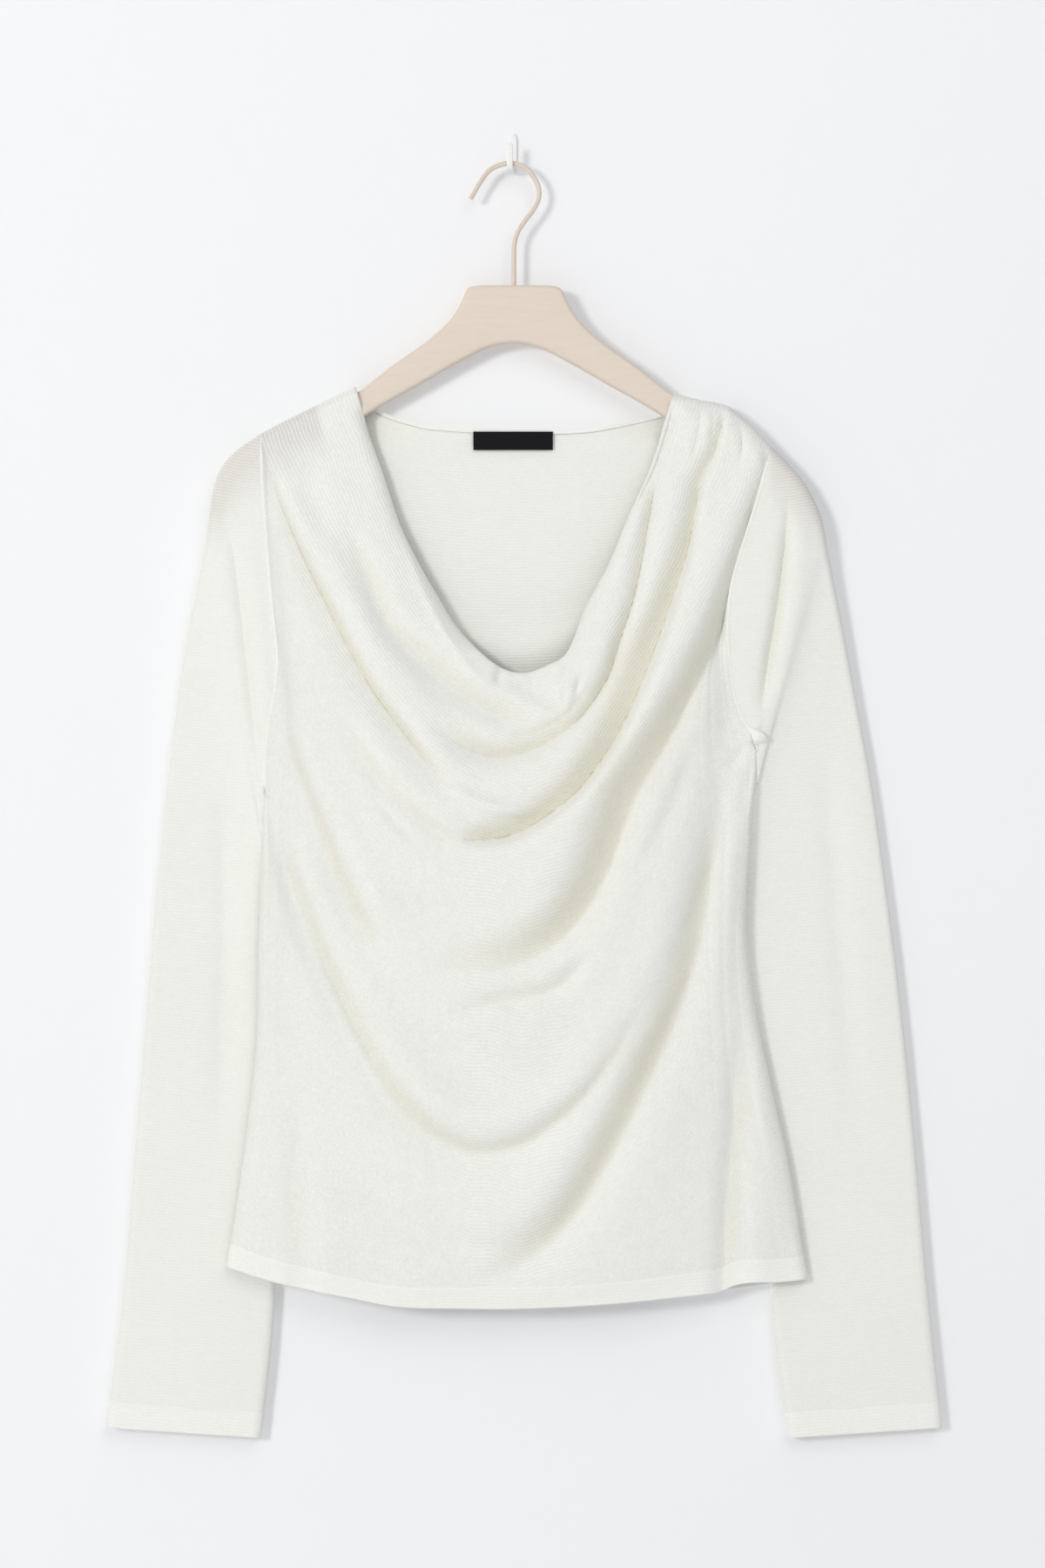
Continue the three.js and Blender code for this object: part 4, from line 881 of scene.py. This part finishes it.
# Cloth pieces. A grid has as many columns and rows as its folds need, closer together at its edges
FRONT_GRID = dict(columns=277, closer=1.25, rows=(81, 85, 112))
BACK_GRID = dict(columns=151, closer=1.6, rows=(41, 51, 60))
SLEEVE_GRID = dict(columns=71, closer=2, rows=(34, 130), head=0.16)
BAND_ROWS = 9
CUFF_FROM = 0.7                                  # share down a sleeve from which it is stretched
NECK_THICK = dict(more=1.3, over=0.006)          # the neck's edge is a thicker roll
FACING = dict(ends=0.0145, top=0.0035, gap=0.1, columns=150, closer=1.6, rows=18)
BINDING = dict(ends=0.055, columns=90, rows=5)


def body_shares(grid):
    """Shares across and down a panel, with a row on the shoulder's end and on the underarm."""
    stops = (0, SHOULDER, UNDERARM, BAND_START)
    runs = [np.linspace(a, b, rows) for a, b, rows in zip(stops, stops[1:], grid["rows"])]
    return edge_close(grid["columns"], grid["closer"]), joined(*runs)


front_cloth = with_band(inset_at_armhole(front_face), HEM_BAND, UNDERARM)
back_cloth = with_band(inset_at_armhole(back_face), HEM_BAND, UNDERARM)
front_across, front_down = body_shares(FRONT_GRID)
back_across, back_down = body_shares(BACK_GRID)
band_down = np.linspace(BAND_START - SEAM_TUCK, 1, BAND_ROWS)
banded = dict(near=0, far=WALL + BAND_PROUD, round_top=True, round_foot=True)

neck_inside = -NECK_THICK["more"] * (1 - ease(front_down / NECK_THICK["over"]))
front = cloth_wall("draped_front", cloth_grid(front_cloth, front_across, front_down, -1),
                   neck_inside, WALL, round_top=True, coarse=2)
back = cloth_wall("plain_back", cloth_grid(back_cloth, back_across, back_down, 1), 0, WALL, sheer=False)
hem_front = cloth_wall("front_hem_band", cloth_grid(front_cloth, front_across, band_down, -1), **banded)
hem_back = cloth_wall("back_hem_band", cloth_grid(back_cloth, back_across, band_down, 1), **banded)

facing_across = mix(FACING["ends"], 1 - FACING["ends"], edge_close(FACING["columns"], FACING["closer"]))
facing_down = np.linspace(FACING["top"], FACING_SHARE, FACING["rows"])
facing = cloth_wall("turned_in_facing", cloth_grid(front_cloth, facing_across, facing_down, -1),
                    -FACING["gap"], -SEAM - WALL)
binding_across = mix(BINDING["ends"], 1 - BINDING["ends"], np.linspace(0, 1, BINDING["columns"]))
binding_down = np.linspace(0, BINDING_SHARE, BINDING["rows"])
neck_band = cloth_wall("back_neck_binding", cloth_grid(back_cloth, binding_across, binding_down, 1),
                       -SEAM, -SEAM - WALL)

sleeves = []
half_ring = edge_close(SLEEVE_GRID["columns"], SLEEVE_GRID["closer"]) / 2
rings = joined(half_ring, half_ring + 0.5)[:-1]
head_rows, arm_rows = SLEEVE_GRID["rows"]
arm_down = joined(np.linspace(0, SLEEVE_GRID["head"], head_rows),
                  np.linspace(SLEEVE_GRID["head"], BAND_START, arm_rows))
for side, rows, edge, folds in (("wearer_right", SLEEVE_RIGHT, left_edge, SLEEVE_RIGHT_FOLDS),
                                ("wearer_left", SLEEVE_LEFT, right_edge, SLEEVE_LEFT_FOLDS)):
    face = with_band(sleeve_face(rows, edge, folds), CUFF_BAND, CUFF_FROM)
    tube = cloth_wall(f"sleeve_tube_{side}", sleeve_grid(face, rings, arm_down), 0, WALL,
                      closed=True, level=True)
    cuff = cloth_wall(f"cuff_band_{side}", sleeve_grid(face, rings, band_down),
                      closed=True, level=True, **banded)
    sleeves.append((side, tube, cuff))


def tube_faces(rings, n):
    """Faces round a stack of rings of n points, with both ends closed."""
    faces = [(k * n + i, k * n + (i + 1) % n, (k + 1) * n + (i + 1) % n, (k + 1) * n + i)
             for k in range(rings - 1) for i in range(n)]
    return faces + [tuple(range(n)), tuple(range((rings - 1) * n, rings * n))[::-1]]


def linked_seam(name, line, outward, knob):
    """The linked seam of an armhole: a flat cord along a line, with a knob at the underarm."""
    cord = SEAM_CORD
    across = unit(np.cross(unit(np.gradient(line, axis=0)), outward))
    share = np.linspace(0, 1, len(line))
    thick = np.minimum(1, cord["start"] + cord["grows"] * share)
    thick = thick * np.clip((1 - share) / cord["tapers"], cord["end"], 1)
    if knob:
        bulge = np.exp(-((share - knob["at"]) / knob["along"]) ** 2)
        thick = thick + knob["swell"] * bulge
        line = line + outward * (knob["stand"] * bulge)[:, None]
        line = line + np.outer(knob["aside"] * bulge, (1, 0, 0))
    rings = []
    for angle in np.linspace(0, 2 * math.pi, cord["sides"], endpoint=False):
        section = across * cord["wide"] * math.cos(angle) + outward * cord["high"] * math.sin(angle)
        rings.append(line + section * thick[:, None])
    faces = tube_faces(len(line), cord["sides"])
    return fresh_object(name, np.stack(rings, 1).reshape(-1, 3), faces, crease=70)


seam_cords = []
armhole_run = np.linspace(SHOULDER, UNDERARM + SEAM_CORD["past_underarm"], SEAM_CORD["points"])
for side, u in (("wearer_right", 0.0), ("wearer_left", 1.0)):
    for layer, cloth, sign in (("front", front_cloth, -1), ("back", back_cloth, 1)):
        line = cloth(np.full(len(armhole_run), u), armhole_run)[0]
        out = seam_direction(line[:, 0], line[:, 2], sign)
        line = line + out * (WALL - SEAM_CORD["sunk"])
        knob = KNOBS[side] if layer == "front" else None
        seam_cords.append(linked_seam(f"armhole_seam_{layer}_{side}", line, out, knob))

# The label lies flat on the binding of the back's neck, in front of the nearest of five places there
behind_label = back_face(np.linspace(0.4, 0.6, 5), np.full(5, 0.02))[0][:, 1]
label_x = np.linspace(LABEL["left"], LABEL["right"], LABEL["columns"])
label_z = LABEL["top"] - np.linspace(0, LABEL["height"], LABEL["rows"])
label_z, label_x = np.meshgrid(label_z, label_x, indexing="ij")
label_y = np.full_like(label_x, behind_label.min() - SEAM * 2 - WALL)
label_points = np.stack([label_x, label_y, label_z], -1)
label_grow = np.broadcast_to((0.0, -1.0, 0.0), label_points.shape)
label = cloth_wall("bare_woven_label", (label_points, label_grow, np.zeros_like(label_x)),
                   0, LABEL["thick"], round_top=True, round_foot=True)


# Hanger
def plate_outline():
    """The whole outline of the hanger, with its corners rounded off."""
    half = np.array(HANGER_TOP + HANGER_UNDER, float)
    ring = np.vstack([half, half[1:-1][::-1] * (-1, 1)])
    fine = []
    for k in range(len(ring)):
        a, b = ring[k], ring[(k + 1) % len(ring)]
        fine.extend(a + (b - a) * s for s in (0, 0.25, 0.5, 0.75))
    fine = np.array(fine)
    for _ in range(3):       # rounds of smoothing
        fine = (np.roll(fine, 1, 0) + 2 * fine + np.roll(fine, -1, 0)) / 4
    return fine


def hanger_plate():
    """A flat plate with edges rounded to the front and back."""
    outline = plate_outline()
    tangent = unit(np.roll(outline, -1, 0) - np.roll(outline, 1, 0))
    inward = np.stack([-tangent[:, 1], tangent[:, 0]], -1)
    rings = []
    for to_front in (True, False):
        for angle in np.linspace(0, math.pi / 2, 7):
            low, high = HANGER_EDGE * (1 - math.sin(angle)), HANGER_EDGE * (1 - math.cos(angle))
            inset, depth = low, HANGER_DEPTH / 2 - high
            if not to_front:
                inset, depth = high, low - HANGER_DEPTH / 2
            flat = outline + inward * inset
            rings.append(np.column_stack([flat[:, 0], np.full(len(flat), SEAM_Y - depth), flat[:, 1]]))
    faces = tube_faces(len(rings), len(outline))
    return fresh_object("hanger_plate", np.vstack(rings), faces, crease=50)


def wire_hook():
    """Round wire along the path of the hook."""
    curve = bpy.data.curves.new("wire_hook", "CURVE")
    curve.dimensions = "3D"
    spline = curve.splines.new("NURBS")
    fine = along(measured(HOOK_PATH), np.linspace(0, 1, 70))
    spline.points.add(len(fine) - 1)
    for point, (x, z) in zip(spline.points, fine):
        point.co = (x * MM, SEAM_Y * MM, z * MM, 1)
    spline.use_endpoint_u = True
    spline.order_u = 3
    curve.bevel_depth = HOOK_WIRE / 2 * MM
    curve.bevel_resolution = 5
    curve.use_fill_caps = True
    draft = placed("wire_draft", curve)
    bpy.context.view_layer.update()
    mesh = bpy.data.meshes.new_from_object(draft.evaluated_get(bpy.context.evaluated_depsgraph_get()))
    bpy.data.objects.remove(draft)
    bpy.data.curves.remove(curve)
    mesh.name = "wire_hook"
    smooth(mesh, 50)
    return placed("wire_hook", mesh)


def bend(a, b, c):
    """Six points of a soft corner from a to c, drawn towards b."""
    a, b, c = map(np.array, (a, b, c))
    return [tuple((1 - t) ** 2 * a + 2 * t * (1 - t) * b + t * t * c) for t in np.linspace(0, 1, 7)[1:]]


def strap_hook():
    """The painted strap: its side is drawn as depth and height, and then given its width.

    The small steps, of up to 2.2 mm, keep its corners as soft as bent metal.
    """
    thick, saddle, corner, top = (STRAP[name] for name in ("thick", "saddle", "corner", "top"))
    narrows, prong = STRAP["narrows_from"], STRAP["prong_top"]
    in_front = -SEAM_Y + HOOK_WIRE / 2 + STRAP["clear_of_wire"]
    outside, underside = in_front + thick, saddle - thick + 0.4
    floor, turn_up = saddle + thick, saddle + corner
    side = [(0, top), (0, saddle + 1)]
    side += bend(side[-1], (0, underside), (corner, underside))
    side += [(in_front - 2, underside)]
    side += bend(side[-1], (outside, underside), (outside, turn_up))
    side += [(outside + thick * 0.3, prong), (in_front + thick * 0.5, prong + 0.6)]
    side += [(in_front, turn_up + 0.6)]
    side += bend(side[-1], (in_front, floor), (in_front - 2.2, floor))
    side += [(thick + 1.6, floor)]
    side += bend(side[-1], (thick, floor), (thick, turn_up))
    side += [(thick, narrows), (thick * 0.6, top)]
    points = []
    for edge in (-0.5, 0.5):
        for out, up in side:
            narrow = mix(1, STRAP["tip"], max(up - narrows, 0) / (top - narrows))
            points.append((edge * STRAP["width"] * narrow - STRAP["skew"] * max(out - thick, 0), -out, up))
    obj = fresh_object("painted_strap_hook", points, tube_faces(2, len(side)), crease=35)
    bevel = obj.modifiers.new("soft edges", "BEVEL")
    bevel.width = STRAP["soft_edge"] * MM
    bevel.segments = 2
    bevel.limit_method = "ANGLE"
    bevel.angle_limit = math.radians(50)
    bpy.context.view_layer.objects.active = obj
    obj.select_set(True)
    bpy.ops.object.modifier_apply(modifier=bevel.name)
    obj.select_set(False)
    smooth(obj.data, 35)
    return obj


hanger = hanger_plate()
hook = wire_hook()
wall_hook = strap_hook()


# Materials
def linear(hex_colour):
    """An sRGB hex colour as linear red, green, blue and alpha."""
    parts = [int(hex_colour[i:i + 2], 16) / 255 for i in (1, 3, 5)]
    return tuple(p / 12.92 if p <= 0.04045 else ((p + 0.055) / 1.055) ** 2.4 for p in parts) + (1.0,)


def every(size):
    """Scale of a pattern whose patches are this many millimetres wide."""
    return 1 / (size * MM)


def add(tree, kind, settings=None, links=None):
    """A node with its settings (names or input names) and links {input: node or (node, output)}."""
    node = tree.nodes.new("ShaderNode" + kind)
    for key, value in (settings or {}).items():
        if isinstance(key, str) and hasattr(node, key):
            setattr(node, key, value)
        else:
            node.inputs[key].default_value = value
    for key, source in (links or {}).items():
        source, output = source if isinstance(source, tuple) else (source, 0)
        tree.links.new(source.outputs[output], node.inputs[key])
    return node


def new_material(name, settings):
    """A material with a principled shader, which holds the constants."""
    material = bpy.data.materials.new(name)
    material.use_nodes = True
    tree = material.node_tree
    tree.nodes.clear()
    shader = add(tree, "BsdfPrincipled", settings)
    output = add(tree, "OutputMaterial", None, {"Surface": shader})
    return material, tree, shader, output


# Widths in millimetres of what makes a knit uneven, and of the unevenness of a coat of paint
KNIT_SIZES = dict(fuzz=1.923, patch=7.69, wander=18.18, cloud=71.4)
COAT_SIZE = 16.67


def knit(name, light, shade, course, wale, relief, contrast):
    """Machine knit: soft and without gloss, with a faint ladder of courses, uneven yarn and painted shade
    in its troughs.

    The real courses are under 1 mm and would not show, so they are drawn course mm apart, and the
    loops wale mm wide. The yarn's fuzz, really a tenth of a millimetre, is drawn 2 mm wide too.
    """
    material, tree, shader, _ = new_material(name, {
        "Roughness": 0.92, "IOR": 1.5, "Specular IOR Level": 0.25, "Sheen Weight": 0.12,
        "Sheen Roughness": 0.5,
    })
    place = add(tree, "UVMap", {"uv_map": "knit_mm"})
    split = add(tree, "SeparateXYZ", None, {"Vector": place})
    coord = (add(tree, "TexCoord"), "Object")
    # Ladder of loops in millimetres along the cloth, a little wandering
    wander = add(tree, "TexNoise", {"Scale": every(KNIT_SIZES["wander"]), "Detail": 1.0}, {"Vector": coord})
    wave_u = add(tree, "Math", {"operation": "MULTIPLY", 1: math.pi / wale}, {0: (split, "X")})
    arch = add(tree, "Math", {"operation": "SINE"}, {0: wave_u})
    leg = add(tree, "Math", {"operation": "ABSOLUTE"}, {0: arch})
    sway = add(tree, "Math", {"operation": "MULTIPLY", 1: 8.0}, {0: wander})
    legs = add(tree, "Math", {"operation": "MULTIPLY_ADD", 1: 0.6}, {0: leg, 2: sway})
    wave_v = add(tree, "Math", {"operation": "MULTIPLY", 1: 2 * math.pi / course}, {0: (split, "Y")})
    phase = add(tree, "Math", {"operation": "ADD"}, {0: wave_v, 1: legs})
    loop = add(tree, "Math", {"operation": "SINE"}, {0: phase})
    stitch = add(tree, "MapRange", {"From Min": -1, "From Max": 1}, {"Value": loop})
    fuzz = add(tree, "TexNoise", {"Scale": every(KNIT_SIZES["fuzz"]), "Detail": 2.0}, {"Vector": coord})
    height = add(tree, "Math", {"operation": "MULTIPLY_ADD", 1: 0.8}, {0: fuzz, 2: stitch})
    bump = add(tree, "Bump", {"Strength": 0.6, "Distance": relief * MM}, {"Height": height})
    # Painted shade in the troughs, where light comes only off other cloth, and slow random clouds of the
    # same tone elsewhere
    trough = add(tree, "Attribute", {"attribute_name": "trough"})
    depth = add(tree, "MapRange", {"From Min": 1.5, "From Max": 10.0, "To Max": 0.95},
                {"Value": (trough, "Fac")})
    cloud = add(tree, "TexNoise", {"Scale": every(KNIT_SIZES["cloud"]), "Detail": 2.0}, {"Vector": coord})
    drift = add(tree, "MapRange", {"From Min": 0.3, "From Max": 0.7, "To Max": 0.12}, {"Value": cloud})
    amount = add(tree, "Math", {"operation": "ADD", "use_clamp": True}, {0: depth, 1: drift})
    painted_shade_tint = add(tree, "Mix", {"data_type": "RGBA", 6: linear(light), 7: linear(shade)}, {0: amount})
    # Uneven yarn, in single loops and in patches of a few
    patch = add(tree, "TexNoise", {"Scale": every(KNIT_SIZES["patch"]), "Detail": 3.0}, {"Vector": coord})
    uneven = add(tree, "MapRange", {"From Min": 0.3, "From Max": 0.7, "To Min": 1.0,
                                    "To Max": 1 - contrast / 2}, {"Value": patch})
    yarn = add(tree, "MapRange", {"From Min": 0.3, "From Max": 0.7, "To Min": 1.0,
                                  "To Max": 1 - contrast}, {"Value": fuzz})
    groove = add(tree, "MapRange", {"To Min": 1 - contrast, "To Max": 1.0}, {"Value": stitch})
    ladder = add(tree, "Math", {"operation": "MULTIPLY"}, {0: groove, 1: yarn})
    surface = add(tree, "Math", {"operation": "MULTIPLY"}, {0: ladder, 1: uneven})
    # Painted see-through: where the knit is sheer, the shaded beige of the hanger and gap behind it is
    # painted in, most between the loops
    thin = add(tree, "Attribute", {"attribute_name": "sheer"})
    hole = add(tree, "MapRange", {"To Min": 0.62, "To Max": 0.34}, {"Value": stitch})
    through = add(tree, "Math", {"operation": "MULTIPLY"}, {0: (thin, "Fac"), 1: hole})
    painted_see_through = add(tree, "Mix", {"data_type": "RGBA", 7: linear("#d3cbc4")}, {0: through, 6: (painted_shade_tint, 2)})
    colour = add(tree, "Mix", {"data_type": "RGBA", "blend_type": "MULTIPLY", 0: 1},
                 {6: (painted_see_through, 2), 7: surface})
    tree.links.new(colour.outputs[2], shader.inputs["Base Color"])
    tree.links.new(bump.outputs["Normal"], shader.inputs["Normal"])
    return material


def painted(name, light, shade, settings, stretch):
    """A coat of paint with a faint unevenness, whose width the stretch divides on each axis."""
    material, tree, shader, _ = new_material(name, settings)
    coord = (add(tree, "TexCoord"), "Object")
    place = add(tree, "Mapping", {"Scale": stretch}, {"Vector": coord})
    noise = add(tree, "TexNoise", {"Scale": every(COAT_SIZE), "Detail": 4.0}, {"Vector": place})
    tone = add(tree, "Mix", {"data_type": "RGBA", 6: linear(light), 7: linear(shade)}, {0: noise})
    bump = add(tree, "Bump", {"Strength": 0.15, "Distance": 0.05 * MM}, {"Height": noise})
    tree.links.new(tone.outputs[2], shader.inputs["Base Color"])
    tree.links.new(bump.outputs["Normal"], shader.inputs["Normal"])
    return material


# Fine wool knitted on a flat machine and washed: matt, with a faint ladder of courses and warm painted
# shade in its troughs
jersey = knit("fine wool jersey, knitted", "#f2f3ed", "#e8e5d5", 2.6, 2.6, 0.26, 0.05)
# The same knit where it hangs flat, pressed, so its stitch shows less
flat_jersey = knit("fine wool jersey, knitted, hanging flat", "#eeefe8", "#e8e6d9", 2.1, 2.1, 0.15, 0.025)
# Bands knitted double and closer: smoother and a touch whiter, almost without a visible stitch
smooth_jersey = knit("smooth double jersey band", "#f3f4ed", "#ebebe0", 2.2, 1.9, 0.12, 0.035)
# Ribbon woven of fine black filament: close and even, with a faint ladder of its weft
ribbon = knit("black satin ribbon, woven", "#0c0d11", "#08090c", 0.7, 0.7, 0.05, 0.1)
# Beech pressed flat, filled and sprayed with beige lacquer: an even satin face, hardly any grain
lacquer = painted("beech, pressed and matt lacquered", "#e2d6c8", "#d9cbbb",
                  {"Roughness": 0.48, "IOR": 1.5}, (1, 8, 8))
# Wire dipped in beige powder and baked: a soft shine with the slight waviness of the coat
coated_wire = painted("steel wire, beige powder coat", "#dfd2c3", "#d5c7b6",
                      {"Roughness": 0.42, "IOR": 1.5}, (4, 4, 4))
# Strap bent, dipped in white enamel and dried: brighter highlights along its rounded edges
white_paint = painted("steel strap, white enamel paint", "#f1f1ef", "#e9e9e6",
                      {"Roughness": 0.35, "IOR": 1.52}, (3, 3, 3))

PIECES = [
    (front, jersey, "knit", "front_panel"),
    (back, flat_jersey, "knit", "back_panel"),
    (hem_front, smooth_jersey, "smooth_knit", "hem_front"),
    (hem_back, smooth_jersey, "smooth_knit", "hem_back"),
    (facing, smooth_jersey, "smooth_knit", "neck_facing"),
    (neck_band, smooth_jersey, "smooth_knit", "back_neck_band"),
    (label, ribbon, "label", "label"),
    (hanger, lacquer, "hanger", "hanger_body"),
    (hook, coated_wire, "wire", "hanger_hook"),
    (wall_hook, white_paint, "wall_hook", "wall_hook"),
]
for side, tube, cuff in sleeves:
    PIECES.append((tube, flat_jersey, "knit", f"sleeve_{side}"))
    PIECES.append((cuff, smooth_jersey, "smooth_knit", f"cuff_{side}"))
for cord in seam_cords:
    cord.data.materials.append(smooth_jersey)
    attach(cord, "root")
for obj, material, slot, node in PIECES:
    obj.data.materials.clear()
    obj.data.materials.append(material)
    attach(obj, "root")
    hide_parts(node)


# Stage
ROOM = dict(half=4000, wall=0.5, floor=-1300, ceiling=2500, front=-5000, back=3000)


def room_plane(name, corners, material):
    """A plain plane of the room that faces the camera or up."""
    obj = fresh_object(name, corners, [(0, 1, 2, 3)])
    if obj.data.polygons[0].normal.y > 0.5:
        obj.data.flip_normals()
    obj.data.materials.append(material)
    return obj


half, wall_y, foot, head = ROOM["half"], ROOM["wall"], ROOM["floor"], ROOM["ceiling"]
# Plaster painted matt: no gloss, almost white. Only its front shows, so the back of the top does too
plaster, tree, shader, output = new_material("wall plaster, matt paint", {"Roughness": 0.9})
shader.inputs["Base Color"].default_value = linear("#f1f2f3")
seen_from = (add(tree, "NewGeometry"), "Backfacing")
clear = add(tree, "BsdfTransparent")
choice = add(tree, "MixShader", None, {0: seen_from, 1: shader, 2: clear})
tree.links.new(choice.outputs[0], output.inputs["Surface"])
# Floor painted matt, which throws a soft light up
paint, tree, shader, output = new_material("floor, matt paint", {"Roughness": 0.8})
shader.inputs["Base Color"].default_value = linear("#ececee")
wall = room_plane("room_wall", [(-half, wall_y, foot), (half, wall_y, foot), (half, wall_y, head),
                                (-half, wall_y, head)], plaster)
wall.visible_diffuse = False         # the room behind it lights the back
wall.visible_shadow = False
near, far = ROOM["front"], ROOM["back"]
floor = room_plane("room_floor", [(-half, near, foot), (half, near, foot), (half, far, foot),
                                  (-half, far, foot)], paint)

# Lights: name, place, what they aim at, size in metres, power in watts, colour
LIGHTS = [
    ("window, left", (-2.5, -4.1, 0.4), (0.0, 0.0, -0.45), 1.0, 75, "#fffdf9"),
    ("room behind the wall", (-2.6, 2.4, 1.6), (0.0, 0.0, -0.45), 1.6, 60, "#ffffff"),
    ("ceiling bounce", (1.0, -3.5, 1.7), (0.1, 0.0, -0.45), 2.6, 27, "#ffffff"),
]
for name, place, aim, size, power, colour in LIGHTS:
    data = bpy.data.lights.new(name, "AREA")
    data.shape = "DISK"
    data.size = size
    data.energy = power
    data.color = linear(colour)[:3]
    lamp = placed(name, data)
    lamp.location = place
    lamp.rotation_euler = (Vector(aim) - Vector(place)).to_track_quat("-Z", "Y").to_euler()

world = bpy.data.worlds.new("studio")
bpy.context.scene.world = world
world.use_nodes = True
world.node_tree.nodes["Background"].inputs["Color"].default_value = linear("#f4f5f9")
world.node_tree.nodes["Background"].inputs["Strength"].default_value = 0.585
bpy.context.scene.view_settings.view_transform = "Standard"

eye = bpy.data.cameras.new("camera")
eye.sensor_fit = "VERTICAL"
eye.sensor_height = 36
eye.lens = 90
camera = placed("camera", eye)
camera.location = (0.006, -2.72, -0.438)
camera.rotation_euler = (math.pi / 2, 0, 0)
bpy.context.scene.camera = camera
